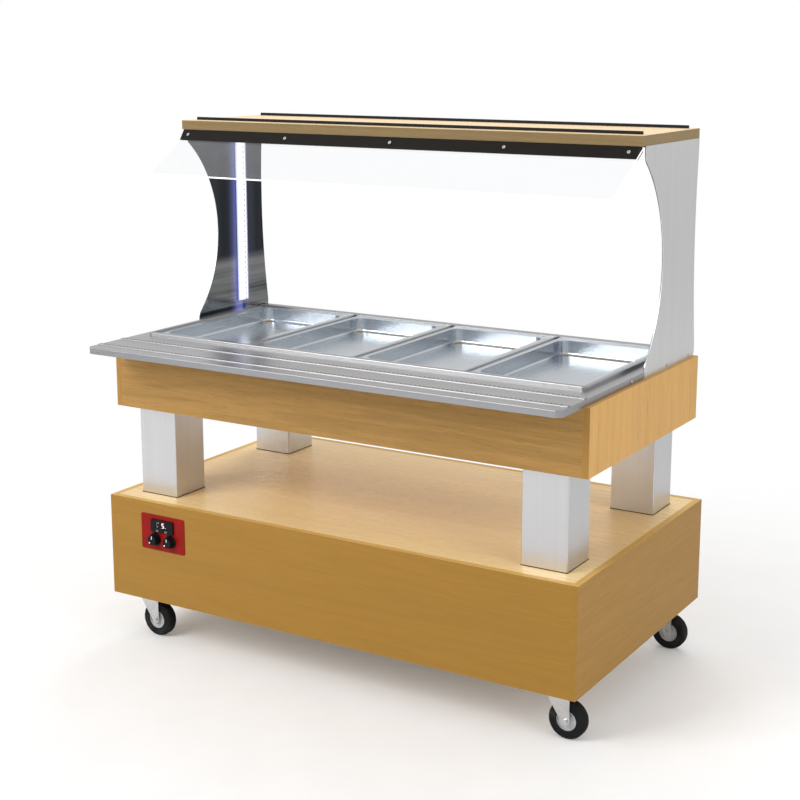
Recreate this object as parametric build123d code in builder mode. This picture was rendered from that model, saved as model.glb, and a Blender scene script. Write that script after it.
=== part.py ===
from build123d import *
from math import cos, hypot, radians, sin
import os

# A refrigerated buffet trolley: a wooden base cabinet on four swivel castors, four steel posts,
# a wooden upper cabinet that holds the cold well, a steel countertop with a tray slide, and a
# lit overshelf with a sneeze guard. Millimetres. X runs along the length, the guests stand at -Y,
# Z is up, and the origin lies on the floor under the middle of the whole object.

os.makedirs("parts", exist_ok=True)

# ---------------------------------------------------------------- overall sizes
cabinet_length = 1450.0
base_depth = 820.0
base_height = 290.0
tray_reach = 88.0           # the tray slide stands this far in front of the base
post_length = 249.0
apron_depth = 702.0
apron_height = 173.0
apron_setback = 44.0        # front of the upper cabinet behind the front of the base
counter_inset = 13.0        # end of the countertop inside the end of the base
lip_height = 17.0
serving_height = 567.0      # countertop to the underside of the overshelf

# ---------------------------------------------------------------- boards and sheets
board = 18.0
thin_board = 12.0
edge_round = 0.8
counter_sheet = 2.0
corner_chamfer = 14.0
flush_gap = 0.2             # between pieces that lie side by side without touching
running_gap = 0.3           # between pieces that move past each other
shaft_gap = 0.05            # radial clearance of a turning shaft

# ---------------------------------------------------------------- castors
wheel_radius = 50.0
wheel_trail = 26.0
tyre_width = 32.0
hub_radius = 27.0
axle_radius = 4.0
castor_plate_thickness = 3.0
castor_plate_length = 100.0
castor_plate_width = 84.0
castor_hole_pitch_x = 80.0
castor_hole_pitch_y = 60.0
castor_hole_radius = 4.5
race_height = 4.0
race_radius = 25.0
crown_thickness = 4.0
crown_radius = 30.0
kingpin_radius = 6.0
kingpin_head_radius = 10.0
kingpin_head = 3.0
fork_sheet = 2.5
fork_gap = 2.0
wheel_headroom = 19.4       # free height between the tyre and the kingpin's head
castor_inset_x = 77.0
castor_inset_y = 76.0

# ---------------------------------------------------------------- posts
post_size = 125.0
post_wall = 2.0
post_plate = 4.0
post_corner = 3.0
gasket_thickness = 2.0
gasket_width = 9.0
post_gap_x = 0.5            # post's outer face inside the end of the well
post_gap_front = 24.5
post_gap_back = 11.5
post_passage_radius = 40.0
post_bolt_inset = 14.5
post_bolt_radius = 4.0
bolt_clearance = 0.4

# ---------------------------------------------------------------- cold well and pans
pan_length = 530.0
pan_width = 325.0
pan_depth = 40.0
pan_sheet = 1.2
pan_flange = 20.0
pan_corner = 30.0
pan_count = 4
bar_slot = 10.0             # room for a cross bar between two pans
bar_rib = 8.0
bar_foot = 24.0
rib_width = 16.0
rib_height = 2.5
rim_setback = 216.0         # front of the rim behind the front of the tray slide
rim_width = 11.0
rim_height = 10.0
ledge_rise = 4.0
ledge_width = 8.0
well_depth = 110.0
well_sheet = 1.5
coil_radius = 5.0
foam_floor = 50.0

# ---------------------------------------------------------------- overshelf and guard
shelf_inset = 14.0
shelf_depth = 385.0
shelf_thickness = 26.0
shelf_back_inset = 16.0
rail_height = 8.0
rail_width = 6.0
rail_front_inset = 48.0
rail_back_inset = 28.0
rail_end_inset = 20.0
panel_sheet = 3.0
panel_flange = 25.0
panel_head = 35.0           # straight part of the panel's front edge, under the shelf
panel_top_front = 20.0      # behind the shelf's front edge
panel_foot_front = 356.0    # behind the upper cabinet's front
panel_waist_front = 456.0
panel_waist_back = 24.0     # in front of the upper cabinet's back
panel_foot_rise = 34.0
guard_angle = 31.6
guard_thickness = 5.0
guard_reach = 164.0         # slanted length of clear guard in front of its profile
guard_inset = 21.0
guard_corner = 20.0
profile_drop = 29.0
profile_step = 20.0
profile_grip = 42.0
clamp_thickness = 3.0
guard_screw_pitch = 340.0

# ---------------------------------------------------------------- light strips
light_width = 52.0
light_depth = 7.0
light_lens = 2.0
light_bottom = 30.0         # above the countertop
light_top = 12.0            # below the panel's head

# ---------------------------------------------------------------- control panel
plate_width = 152.0
plate_height = 102.0
plate_thickness = 2.0
plate_corner = 5.0
plate_from_end = 113.0      # plate's outer edge from the end of the base
plate_from_top = 34.0
bezel_width = 78.0
bezel_height = 36.0
bezel_thickness = 5.0
bezel_from_top = 12.0
case_width = 70.0
case_height = 28.0
case_depth = 58.0
window_width = 46.0
window_height = 18.0
key_width = 8.0
key_height = 5.0
key_travel = 0.8
knob_radius = 19.0
knob_height = 17.0
knob_pitch = 53.0
knob_from_top = 70.0
shaft_radius = 3.0
switch_size = 30.0
switch_depth = 36.0
bush_radius = 5.0

# ---------------------------------------------------------------- cooling unit
unit_tray = 3.0
compressor_radius = 75.0
compressor_height = 150.0
grommet_height = 10.0
grommet_radius = 12.0
condenser_width = 300.0
condenser_height = 200.0
condenser_depth = 40.0
fan_radius = 85.0
fan_bore_gap = 5.0
fan_hub_radius = 20.0
shroud_sheet = 2.0
shroud_depth = 40.0
pipe_radius = 5.0
drain_radius = 11.0
drain_bore = 8.0

# ---------------------------------------------------------------- places worked out from the sizes
wheel_top = 2 * wheel_radius
kingpin_bottom = wheel_top + wheel_headroom
crown_bottom = kingpin_bottom + kingpin_head + running_gap
crown_top = crown_bottom + crown_thickness
race_bottom = crown_top + running_gap
castor_plate_bottom = race_bottom + race_height
base_bottom = castor_plate_bottom + castor_plate_thickness
base_top = base_bottom + base_height
post_bottom = base_top + gasket_thickness
apron_bottom = post_bottom + post_length
apron_top = apron_bottom + apron_height
counter_top = apron_top + lip_height
shelf_bottom = counter_top + serving_height
shelf_top = shelf_bottom + shelf_thickness

half_length = cabinet_length / 2
inner_half = half_length - board
base_back = (base_depth + tray_reach) / 2
base_front = base_back - base_depth
tray_front = base_front - tray_reach
apron_front = base_front + apron_setback
apron_back = apron_front + apron_depth
counter_half = half_length - counter_inset
shelf_half = half_length - shelf_inset
guard_half = half_length - guard_inset
shelf_back = apron_back - shelf_back_inset
shelf_front = shelf_back - shelf_depth

pan_pitch = pan_width + bar_slot
well_half = (pan_count * pan_pitch - bar_slot) / 2
post_x = well_half - post_gap_x - post_size / 2
post_front_y = apron_front + post_gap_front + post_size / 2
post_back_y = apron_back - post_gap_back - post_size / 2
post_bolt_pitch = post_size - 2 * post_bolt_inset
post_places = {
    "front_left": (-post_x, post_front_y),
    "front_right": (post_x, post_front_y),
    "back_left": (-post_x, post_back_y),
    "back_right": (post_x, post_back_y),
}
castor_places = {
    "front_left": (-half_length + castor_inset_x, base_front + castor_inset_y),
    "front_right": (half_length - castor_inset_x, base_front + castor_inset_y),
    "back_left": (-half_length + castor_inset_x, base_back - castor_inset_y),
    "back_right": (half_length - castor_inset_x, base_back - castor_inset_y),
}
braked = ("front_left", "back_left")

rim_half = well_half + rim_width
rim_front = tray_front + rim_setback
well_front = rim_front + rim_width
well_back = well_front + pan_length + 2
rim_back = well_back + rim_width
well_middle = (well_front + well_back) / 2
ledge_top = counter_top + ledge_rise
rim_top = counter_top + rim_height
well_floor = counter_top - well_depth
basin_half = well_half - ledge_width
basin_front = well_front + ledge_width
basin_back = well_back - ledge_width


# ---------------------------------------------------------------- helpers
def save(piece, label):
    """Names a finished piece and writes it."""
    piece.part.label = label
    export_step(piece.part, f"parts/{label}.step")


def save_group(pieces, label):
    """Writes several separate pieces of one kind under one name."""
    with BuildPart() as group:
        for piece in pieces:
            add(piece.part)
    save(group, label)


def slab(x_limits, y_limits, z_limits):
    """A rectangular board, bar or sheet between two limits along each axis."""
    with BuildPart() as piece:
        with BuildSketch(Plane.XY.offset(z_limits[0])):
            with Locations(((x_limits[0] + x_limits[1]) / 2, (y_limits[0] + y_limits[1]) / 2)):
                Rectangle(x_limits[1] - x_limits[0], y_limits[1] - y_limits[0])
        extrude(amount=z_limits[1] - z_limits[0])
    return piece


def drill(places, direction, radius, depth):
    """Cuts round holes into the open part, from each place against direction."""
    with Locations(*[Plane(origin=place, z_dir=direction) for place in places]):
        Cylinder(radius, depth, align=(Align.CENTER, Align.CENTER, Align.MAX), mode=Mode.SUBTRACT)


def fasteners(places, direction, shank_radius, shank_length, head_radius, head_height):
    """Screws or bolts whose heads stand out along direction from each place."""
    with BuildPart() as piece:
        for place in places:
            seat = Plane(origin=place, z_dir=direction)
            with BuildSketch(seat):
                Circle(head_radius)
            extrude(amount=head_height)
            with BuildSketch(seat):
                Circle(shank_radius)
            extrude(amount=-shank_length)
    return piece


def tube_run(points, radius, bend):
    """A round pipe along straight runs joined by bends of one radius."""
    with BuildPart() as piece:
        with BuildLine() as route:
            FilletPolyline(*points, radius=bend)
        start = route.line @ 0
        with BuildSketch(Plane(origin=start, z_dir=route.line % 0)):
            Circle(radius)
        sweep(path=route.line)
    return piece


def around(middle, pitch_x, pitch_y):
    """The four corners of a rectangle of holes about a middle."""
    return [
        (middle[0] + side * pitch_x / 2, middle[1] + end * pitch_y / 2)
        for side in (-1, 1)
        for end in (-1, 1)
    ]


# ---------------------------------------------------------------- base cabinet
castor_screw_places = [
    corner for place in castor_places.values()
    for corner in around(place, castor_hole_pitch_x, castor_hole_pitch_y)
]
castor_screw_radius = 3.0
castor_screw_length = 14.0
drain_place = (post_x - 12, basin_back - 14)
drain_floor_gap = 2.0

with BuildPart() as base_floor:
    with BuildSketch(Plane.XY.offset(base_bottom)):
        with Locations((0, (base_front + base_back) / 2)):
            Rectangle(2 * inner_half, base_depth - 2 * board)
    extrude(amount=board)
    drill([(*p, base_bottom) for p in castor_screw_places], (0, 0, -1), castor_screw_radius,
          castor_screw_length - castor_plate_thickness)
    drill([(*drain_place, base_bottom)], (0, 0, -1), drain_radius + drain_floor_gap, board)
save(base_floor, "base_floor")

plate_left = -half_length + plate_from_end
plate_middle = plate_left + plate_width / 2
plate_top = base_top - plate_from_top
bezel_middle = plate_top - bezel_from_top - bezel_height / 2
knob_level = plate_top - knob_from_top
knob_places = {
    "power": (plate_middle - knob_pitch / 2, knob_level),
    "light": (plate_middle + knob_pitch / 2, knob_level),
}
with BuildPart() as base_front_board:
    with BuildSketch(Plane.XZ.offset(-base_front)):
        with Locations((0, (base_bottom + base_top) / 2)):
            Rectangle(2 * inner_half, base_height)
        with Locations((plate_middle, bezel_middle)):
            Rectangle(case_width + 2 * flush_gap, case_height + 2 * flush_gap, mode=Mode.SUBTRACT)
        with Locations(*knob_places.values()):
            Circle(bush_radius + flush_gap, mode=Mode.SUBTRACT)
    extrude(amount=-board)
save(base_front_board, "base_front")

louvre_length = 110.0
louvre_height = 8.0
louvre_rows = 8
louvre_pitch = 20.0
inlet_width = 27.0
inlet_height = 20.0
inlet_place = (-half_length + 190, base_bottom + 70)
unit_middle = 50.0
condenser_bottom = base_bottom + board + unit_tray + 8
condenser_middle = condenser_bottom + condenser_height / 2
with BuildPart() as base_back_board:
    with BuildSketch(Plane.XZ.offset(-base_back)):
        with Locations((0, (base_bottom + base_top) / 2)):
            Rectangle(2 * inner_half, base_height)
        with Locations((unit_middle, condenser_middle)):
            with GridLocations(louvre_length + 22, louvre_pitch, 3, louvre_rows):
                SlotOverall(louvre_length, louvre_height, mode=Mode.SUBTRACT)
        with Locations(inlet_place):
            Rectangle(inlet_width, inlet_height, mode=Mode.SUBTRACT)
    extrude(amount=board)
save(base_back_board, "base_back")

with BuildPart() as base_sides:
    for sign in (-1, 1):
        side_board = slab(sorted((sign * inner_half, sign * half_length)), (base_front, base_back),
                          (base_bottom, base_top))
        add(side_board.part)
    for face in base_sides.faces().sort_by(Axis.X)[::len(base_sides.faces()) - 1]:
        fillet(face.edges(), radius=edge_round)
save(base_sides, "base_sides")

post_bolt_places = {
    name: around(place, post_bolt_pitch, post_bolt_pitch) for name, place in post_places.items()
}
all_post_bolts = [corner for corners in post_bolt_places.values() for corner in corners]
with BuildPart() as base_top_board:
    with BuildSketch(Plane.XY.offset(base_top - board)):
        with Locations((0, (base_front + base_back) / 2)):
            Rectangle(2 * inner_half, base_depth - 2 * board)
        with Locations(*post_places.values()):
            Circle(post_passage_radius, mode=Mode.SUBTRACT)
        with Locations(*all_post_bolts):
            Circle(post_bolt_radius + bolt_clearance, mode=Mode.SUBTRACT)
    extrude(amount=board)
save(base_top_board, "plate_shelf")

# ---------------------------------------------------------------- posts
with BuildPart() as posts:
    for name, place in post_places.items():
        with BuildSketch(Plane.XY.offset(post_bottom)):
            with Locations(place):
                RectangleRounded(post_size, post_size, post_corner)
                RectangleRounded(post_size - 2 * post_wall, post_size - 2 * post_wall,
                                 post_corner - post_wall, mode=Mode.SUBTRACT)
        extrude(amount=post_length)
        for level in (post_bottom, apron_bottom - post_plate):
            with BuildSketch(Plane.XY.offset(level)):
                with Locations(place):
                    Rectangle(post_size - post_wall, post_size - post_wall)
                    Circle(post_passage_radius, mode=Mode.SUBTRACT)
                with Locations(*post_bolt_places[name]):
                    Circle(post_bolt_radius + bolt_clearance, mode=Mode.SUBTRACT)
            extrude(amount=post_plate)
save(posts, "posts")

with BuildPart() as post_gaskets:
    with BuildSketch(Plane.XY.offset(base_top)):
        with Locations(*post_places.values()):
            Rectangle(post_size + 1, post_size + 1)
        with Locations(*post_places.values()):
            Rectangle(post_size - 2 * gasket_width, post_size - 2 * gasket_width, mode=Mode.SUBTRACT)
    extrude(amount=gasket_thickness)

bolt_head_radius = 6.5
bolt_head_height = 5.0
bolt_tail = 9.0
lower_bolts = fasteners([(*p, base_top - board) for p in all_post_bolts], (0, 0, -1), post_bolt_radius,
                        board + gasket_thickness + post_plate + bolt_tail, bolt_head_radius,
                        bolt_head_height)
upper_bolts = fasteners([(*p, apron_bottom + thin_board) for p in all_post_bolts], (0, 0, 1),
                        post_bolt_radius, thin_board + post_plate + bolt_tail, bolt_head_radius,
                        bolt_head_height)
save_group((lower_bolts, upper_bolts), "post_bolts")

# ---------------------------------------------------------------- upper cabinet
with BuildPart() as apron_floor:
    with BuildSketch(Plane.XY.offset(apron_bottom)):
        with Locations((0, (apron_front + apron_back) / 2)):
            Rectangle(2 * inner_half, apron_depth - 2 * board)
        with Locations(*post_places.values()):
            Circle(post_passage_radius, mode=Mode.SUBTRACT)
        with Locations(*all_post_bolts):
            Circle(post_bolt_radius + bolt_clearance, mode=Mode.SUBTRACT)
    extrude(amount=thin_board)
save(apron_floor, "apron_floor")

for end, limits in (("front", (apron_front, apron_front + board)),
                    ("back", (apron_back - board, apron_back))):
    save(slab((-inner_half, inner_half), limits, (apron_bottom, apron_top)), f"apron_{end}")

seam_inset = 50.0
seam_width = 1.0
seam_depth = 0.8
seam_places = (apron_front + seam_inset, (apron_front + apron_back) / 2, apron_back - seam_inset)
with BuildPart() as apron_sides:
    for sign in (-1, 1):
        side_board = slab(sorted((sign * inner_half, sign * half_length)), (apron_front, apron_back),
                          (apron_bottom, apron_top))
        add(side_board.part)
    for face in apron_sides.faces().sort_by(Axis.X)[::len(apron_sides.faces()) - 1]:
        fillet(face.edges(), radius=edge_round)
    for sign in (-1, 1):
        with BuildSketch(Plane.YZ.offset(sign * half_length)):
            with Locations(*[(place, (apron_bottom + apron_top) / 2) for place in seam_places]):
                Rectangle(seam_width, apron_height)
        extrude(amount=-sign * seam_depth, mode=Mode.SUBTRACT)
save(apron_sides, "apron_sides")

# ---------------------------------------------------------------- countertop
panel_front = apron_front + panel_foot_front
panel_back = apron_back - flush_gap
notch = panel_sheet + flush_gap
counter_outline = [
    (-counter_half + corner_chamfer, tray_front),
    (counter_half - corner_chamfer, tray_front),
    (counter_half, tray_front + corner_chamfer),
    (counter_half, panel_front - flush_gap),
    (counter_half - notch, panel_front - flush_gap),
    (counter_half - notch, apron_back),
    (-counter_half + notch, apron_back),
    (-counter_half + notch, panel_front - flush_gap),
    (-counter_half, panel_front - flush_gap),
    (-counter_half, tray_front + corner_chamfer),
]
lip_screw_radius = 2.0
lip_screw_level = apron_top + lip_height / 2
lip_screw_place = apron_front + 272
panel_screw_places = (apron_front + 508, apron_back - 40)
rib_places = (tray_front + 52, tray_front + 143, rim_back + 22, rim_back + 44)
well_cut_half = basin_half + well_sheet + 1.5
well_cut_front = basin_front - well_sheet - 1.5
well_cut_back = basin_back + well_sheet + 1.5
with BuildPart() as countertop:
    with BuildSketch(Plane.XY.offset(apron_top)) as counter_plan:
        with BuildLine():
            Polyline(*counter_outline, close=True)
        make_face()
    extrude(amount=lip_height)
    top_face = countertop.faces().sort_by(Axis.Z)[-1]
    fillet(top_face.edges(), radius=1.6)
    with BuildSketch(Plane.XY.offset(apron_top)):
        add(counter_plan.sketch)
        offset(amount=-counter_sheet, kind=Kind.INTERSECTION, mode=Mode.REPLACE)
    extrude(amount=lip_height - counter_sheet, mode=Mode.SUBTRACT)
    with BuildSketch(Plane.XY.offset(apron_top)):
        with Locations((0, (well_cut_front + well_cut_back) / 2)):
            Rectangle(2 * well_cut_half, well_cut_back - well_cut_front)
    extrude(amount=lip_height, mode=Mode.SUBTRACT)
    for place in rib_places:
        reach = counter_half - (4 if place < panel_front else 4 + notch)
        with BuildSketch(Plane.YZ.offset(-reach)):
            with Locations((place, counter_top + (rib_height - counter_sheet) / 2)):
                Rectangle(rib_width, rib_height + counter_sheet)
            fillet(vertices().group_by(Axis.Y)[-1], radius=2.2)
        extrude(amount=2 * reach)
    for sign in (-1, 1):
        drill([(sign * counter_half, lip_screw_place, lip_screw_level)], (sign, 0, 0),
              lip_screw_radius, counter_sheet)
        drill([(sign * (counter_half - notch), place, lip_screw_level) for place in panel_screw_places],
              (sign, 0, 0), lip_screw_radius, counter_sheet)
save(countertop, "countertop")

frame_front = apron_front + flush_gap
frame_back = apron_back - counter_sheet
frame_half = counter_half - notch - counter_sheet
frame_width = board + 8
with BuildPart() as counter_frame:
    with BuildSketch(Plane.XY.offset(apron_top)):
        with Locations((0, (frame_front + frame_back) / 2)):
            Rectangle(2 * frame_half, frame_back - frame_front)
            Rectangle(2 * (frame_half - frame_width), frame_back - frame_front - 2 * frame_width,
                      mode=Mode.SUBTRACT)
    extrude(amount=lip_height - counter_sheet)
    for sign in (-1, 1):
        drill([(sign * frame_half, place, lip_screw_level) for place in panel_screw_places],
              (sign, 0, 0), lip_screw_radius, frame_width / 2)
        drill([(sign * frame_half, lip_screw_place, lip_screw_level)], (sign, 0, 0),
              lip_screw_radius, frame_width / 2)
save(counter_frame, "counter_frame")

# ---------------------------------------------------------------- cold well
with BuildPart() as well_basin:
    with BuildSketch(Plane.XY.offset(counter_top)):
        with Locations((0, well_middle)):
            RectangleRounded(2 * rim_half, rim_back - rim_front, 12)
    extrude(amount=rim_height)
    fillet(well_basin.faces().sort_by(Axis.Z)[-1].edges(), radius=3)
    with BuildSketch(Plane.XY.offset(well_floor - well_sheet)):
        with Locations((0, well_middle)):
            RectangleRounded(2 * (basin_half + well_sheet), basin_back - basin_front + 2 * well_sheet, 21)
    extrude(amount=counter_top - well_floor + well_sheet)
    with BuildSketch(Plane.XY.offset(ledge_top)):
        with Locations((0, well_middle)):
            RectangleRounded(2 * well_half, well_back - well_front, 4)
    extrude(amount=rim_top - ledge_top, mode=Mode.SUBTRACT)
    with BuildSketch(Plane.XY.offset(well_floor)):
        with Locations((0, well_middle)):
            RectangleRounded(2 * basin_half, basin_back - basin_front, 19.5)
    extrude(amount=rim_top - well_floor, mode=Mode.SUBTRACT)
    drill([(*drain_place, well_floor)], (0, 0, 1), drain_bore, well_sheet)
save(well_basin, "well_basin")

bar_top = rim_top - 1
bar_bottom = ledge_top - 9
with BuildPart() as cross_bars:
    for number in range(1, pan_count):
        middle = number * pan_pitch - pan_count * pan_pitch / 2
        for width, ends, levels in (
            (bar_rib, (basin_front + flush_gap, basin_back - flush_gap), (bar_bottom, ledge_top)),
            (bar_foot, (basin_front + flush_gap, basin_back - flush_gap), (ledge_top - 2, ledge_top)),
            (bar_rib, (well_front + flush_gap, well_back - flush_gap), (ledge_top, bar_top)),
        ):
            with BuildSketch(Plane.XY.offset(levels[0])):
                with Locations((middle, (ends[0] + ends[1]) / 2)):
                    Rectangle(width, ends[1] - ends[0])
            extrude(amount=levels[1] - levels[0])
save(cross_bars, "cross_bars")

pan_seat = ledge_top + flush_gap
pan_bottom_round = 8.0


def bowl(middle, grow):
    """The body of a pan as a solid, grown outwards and downwards by grow."""
    with BuildPart() as piece:
        with BuildSketch(Plane.XY.offset(pan_seat + pan_sheet)):
            with Locations((middle, well_middle)):
                RectangleRounded(pan_width - 2 * pan_flange + 2 * grow,
                                 pan_length - 2 * pan_flange + 2 * grow, pan_corner + grow)
        extrude(amount=-pan_depth - grow)
        fillet(piece.faces().sort_by(Axis.Z)[0].edges(), radius=pan_bottom_round + grow)
    return piece


for number in range(pan_count):
    pan_middle = (number + 0.5) * pan_pitch - pan_count * pan_pitch / 2
    shell = bowl(pan_middle, pan_sheet)
    hollow = bowl(pan_middle, 0)
    with BuildPart() as pan:
        with BuildSketch(Plane.XY.offset(pan_seat)):
            with Locations((pan_middle, well_middle)):
                RectangleRounded(pan_width, pan_length, 10)
        extrude(amount=pan_sheet)
        add(shell.part)
        add(hollow.part, mode=Mode.SUBTRACT)
    save(pan, f"pan_{number + 1}")

foam_bottom = apron_bottom + thin_board
foam_pocket = foam_bottom + foam_floor
with BuildPart() as well_insulation:
    with BuildSketch(Plane.XY.offset(foam_bottom)):
        with Locations((0, (apron_front + apron_back) / 2)):
            Rectangle(2 * inner_half, apron_depth - 2 * board)
    extrude(amount=apron_top - foam_bottom)
    with BuildSketch(Plane.XY.offset(foam_pocket)):
        with Locations((0, well_middle)):
            RectangleRounded(2 * (basin_half + well_sheet + flush_gap),
                             basin_back - basin_front + 2 * (well_sheet + flush_gap), 21.2)
    extrude(amount=apron_top - foam_pocket, mode=Mode.SUBTRACT)
    drill([(*p, foam_bottom) for p in all_post_bolts], (0, 0, -1), bolt_head_radius + 1,
          bolt_head_height + 1)
    pipe_places = [(-post_x - 18, basin_back - 12), (-post_x + 12, basin_back - 12)]
    drill([(*p, foam_pocket) for p in pipe_places], (0, 0, 1), pipe_radius + 1, foam_floor)
    drill([(*drain_place, foam_pocket)], (0, 0, 1), drain_radius + 1, foam_floor)
save(well_insulation, "well_insulation")

# ---------------------------------------------------------------- evaporator under the well
coil_level = well_floor - well_sheet - coil_radius
coil_runs = 8
coil_front = basin_front + 40
coil_back = basin_back - 12
coil_pitch = (coil_back - coil_front) / (coil_runs - 1)
coil_right = basin_half - 95
coil_turn = -basin_half + 90
coil_points = [(*pipe_places[0], foam_pocket - 30), (*pipe_places[0], coil_level),
               (pipe_places[0][0], coil_front, coil_level)]
for run in range(coil_runs):
    level = coil_front + run * coil_pitch
    ends = (coil_turn, coil_right) if run % 2 == 0 else (coil_right, coil_turn)
    if run > 0:
        coil_points.append((ends[0], level, coil_level))
    coil_points.append((ends[1] if run < coil_runs - 1 else pipe_places[1][0], level, coil_level))
coil_points.append((*pipe_places[1], foam_pocket - 30))
evaporator = tube_run(coil_points, coil_radius, 14)
save(evaporator, "evaporator_coil")

# ---------------------------------------------------------------- overshelf
with BuildPart() as overshelf:
    with BuildSketch(Plane.XY.offset(shelf_bottom)):
        with Locations((0, (shelf_front + shelf_back) / 2)):
            Rectangle(2 * shelf_half, shelf_depth)
    extrude(amount=shelf_thickness)
    fillet(overshelf.edges(), radius=1.2)
save(overshelf, "overshelf")

rail_half = shelf_half - rail_end_inset
with BuildPart() as gallery_rails:
    for middle in (shelf_front + rail_front_inset, shelf_back - rail_back_inset):
        with BuildSketch(Plane.YZ.offset(-rail_half)):
            with Locations((middle, shelf_top + rail_height / 2)):
                Rectangle(rail_width, rail_height)
            fillet(vertices().group_by(Axis.Y)[-1], radius=1.5)
        extrude(amount=2 * rail_half)
save(gallery_rails, "gallery_rails")

# ---------------------------------------------------------------- side panels
head_front = shelf_front + panel_top_front
head_back = shelf_back - 2
head_level = shelf_bottom - panel_head
waist_front = apron_front + panel_waist_front
waist_back = apron_back - panel_waist_back
foot_level = counter_top + panel_foot_rise / 2
waist_level = (head_level + foot_level) / 2
panel_outer = counter_half
panel_inner = counter_half - panel_sheet
shelf_screw_places = (head_front + 40, (head_front + head_back) / 2, head_back - 40)
side_panels = []
for sign in (-1, 1):
    with BuildPart() as side_panel:
        with BuildSketch(Plane.YZ.offset(sign * panel_outer)):
            with BuildLine():
                Line((head_back, shelf_bottom), (head_front, shelf_bottom))
                Line((head_front, shelf_bottom), (head_front, head_level))
                ThreePointArc((head_front, head_level), (waist_front, waist_level),
                              (panel_front, foot_level))
                Line((panel_front, foot_level), (panel_front, apron_top))
                Line((panel_front, apron_top), (panel_back - 8, apron_top))
                Line((panel_back - 8, apron_top), (panel_back, apron_top + 8))
                Line((panel_back, apron_top + 8), (panel_back, foot_level))
                ThreePointArc((panel_back, foot_level), (waist_back, waist_level),
                              (head_back, head_level))
                Line((head_back, head_level), (head_back, shelf_bottom))
            make_face()
            bends = vertices().filter_by(lambda v: abs(v.Y - head_level) < 1 or abs(v.Y - foot_level) < 1)
            fillet(bends, radius=30)
        extrude(amount=-sign * panel_sheet)
        with BuildSketch(Plane.XY.offset(shelf_bottom)):
            with Locations((sign * (panel_outer - panel_flange / 2), (head_front + head_back) / 2)):
                Rectangle(panel_flange, head_back - head_front)
        extrude(amount=-panel_sheet)
        drill([(sign * (panel_outer - 15), place, shelf_bottom) for place in shelf_screw_places],
              (0, 0, 1), lip_screw_radius, panel_sheet)
        drill([(sign * panel_outer, place, lip_screw_level) for place in panel_screw_places],
              (sign, 0, 0), lip_screw_radius, panel_sheet)
    side_panels.append(side_panel)
save_group(side_panels, "side_panels")

# ---------------------------------------------------------------- light strips
strip_middle = (waist_front + waist_back) / 2
strip_bottom = counter_top + light_bottom
strip_top = head_level - light_top
light_housings = []
light_lenses = []
for sign in (-1, 1):
    case_face = sign * (panel_inner - light_depth + light_lens)
    light_housings.append(slab(sorted((sign * panel_inner, case_face)),
                               (strip_middle - light_width / 2, strip_middle + light_width / 2),
                               (strip_bottom, strip_top)))
    light_lenses.append(slab(sorted((case_face, case_face - sign * light_lens)),
                             (strip_middle - light_width / 2 + 2, strip_middle + light_width / 2 - 2),
                             (strip_bottom + 3, strip_top - 3)))
save_group(light_housings, "light_housings")
save_group(light_lenses, "light_lenses")

# ---------------------------------------------------------------- sneeze guard
slope = (-cos(radians(guard_angle)), -sin(radians(guard_angle)))
across = (sin(radians(guard_angle)), -cos(radians(guard_angle)))
profile_low = (shelf_front - profile_step, shelf_bottom - profile_drop)


def along_guard(reach, depth):
    """A point in the YZ plane, reach down the guard from the profile and depth below its face."""
    return (profile_low[0] + slope[0] * reach + across[0] * depth,
            profile_low[1] + slope[1] * reach + across[1] * depth)


screw_middle = ((shelf_front + profile_low[0]) / 2, (shelf_bottom + profile_low[1]) / 2)
profile_face = hypot(profile_step, profile_drop)
screw_normal = (0, -profile_drop / profile_face, profile_step / profile_face)
guard_screw_places = [
    (number * guard_screw_pitch, screw_middle[0], screw_middle[1]) for number in range(-2, 3)
]
guard_screw_length = 5.5
with BuildPart() as guard_profile:
    with BuildSketch(Plane.YZ.offset(-guard_half)):
        with BuildLine():
            Polyline((shelf_front, shelf_bottom), profile_low, along_guard(-profile_grip, 0),
                     (along_guard(-profile_grip, 0)[0], shelf_bottom), close=True)
        make_face()
    extrude(amount=2 * guard_half)
    drill(guard_screw_places, screw_normal, lip_screw_radius, guard_screw_length)

with BuildPart() as sneeze_guard:
    guard_plane = Plane(origin=(0, *profile_low), x_dir=(1, 0, 0), z_dir=(0, -across[0], -across[1]))
    with BuildSketch(guard_plane):
        with Locations((0, -(guard_reach - profile_grip) / 2)):
            Rectangle(2 * guard_half, guard_reach + profile_grip)
        fillet(vertices().group_by(Axis.Y)[0], radius=guard_corner)
    extrude(amount=-guard_thickness)
save(sneeze_guard, "sneeze_guard")

with BuildPart() as guard_clamp:
    with BuildSketch(Plane.YZ.offset(-guard_half)):
        with BuildLine():
            Polyline(along_guard(-6, guard_thickness), along_guard(-6, guard_thickness + clamp_thickness),
                     along_guard(-profile_grip, guard_thickness + clamp_thickness),
                     along_guard(-profile_grip, guard_thickness), close=True)
        make_face()
    extrude(amount=2 * guard_half)
save_group((guard_profile, guard_clamp), "guard_profile")

screw_sets = [
    fasteners(guard_screw_places, screw_normal, lip_screw_radius, guard_screw_length, 4.5, 2.5),
    fasteners([(sign * (panel_outer - 15), place, shelf_bottom - panel_sheet)
               for sign in (-1, 1) for place in shelf_screw_places],
              (0, 0, -1), lip_screw_radius, panel_sheet, 4, 2),
]
for sign in (-1, 1):
    screw_sets.append(fasteners([(sign * counter_half, place, lip_screw_level)
                                 for place in (lip_screw_place, *panel_screw_places)],
                                (sign, 0, 0), lip_screw_radius, notch + counter_sheet + 6, 4, 1.6))
save_group(screw_sets, "panel_screws")

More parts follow.
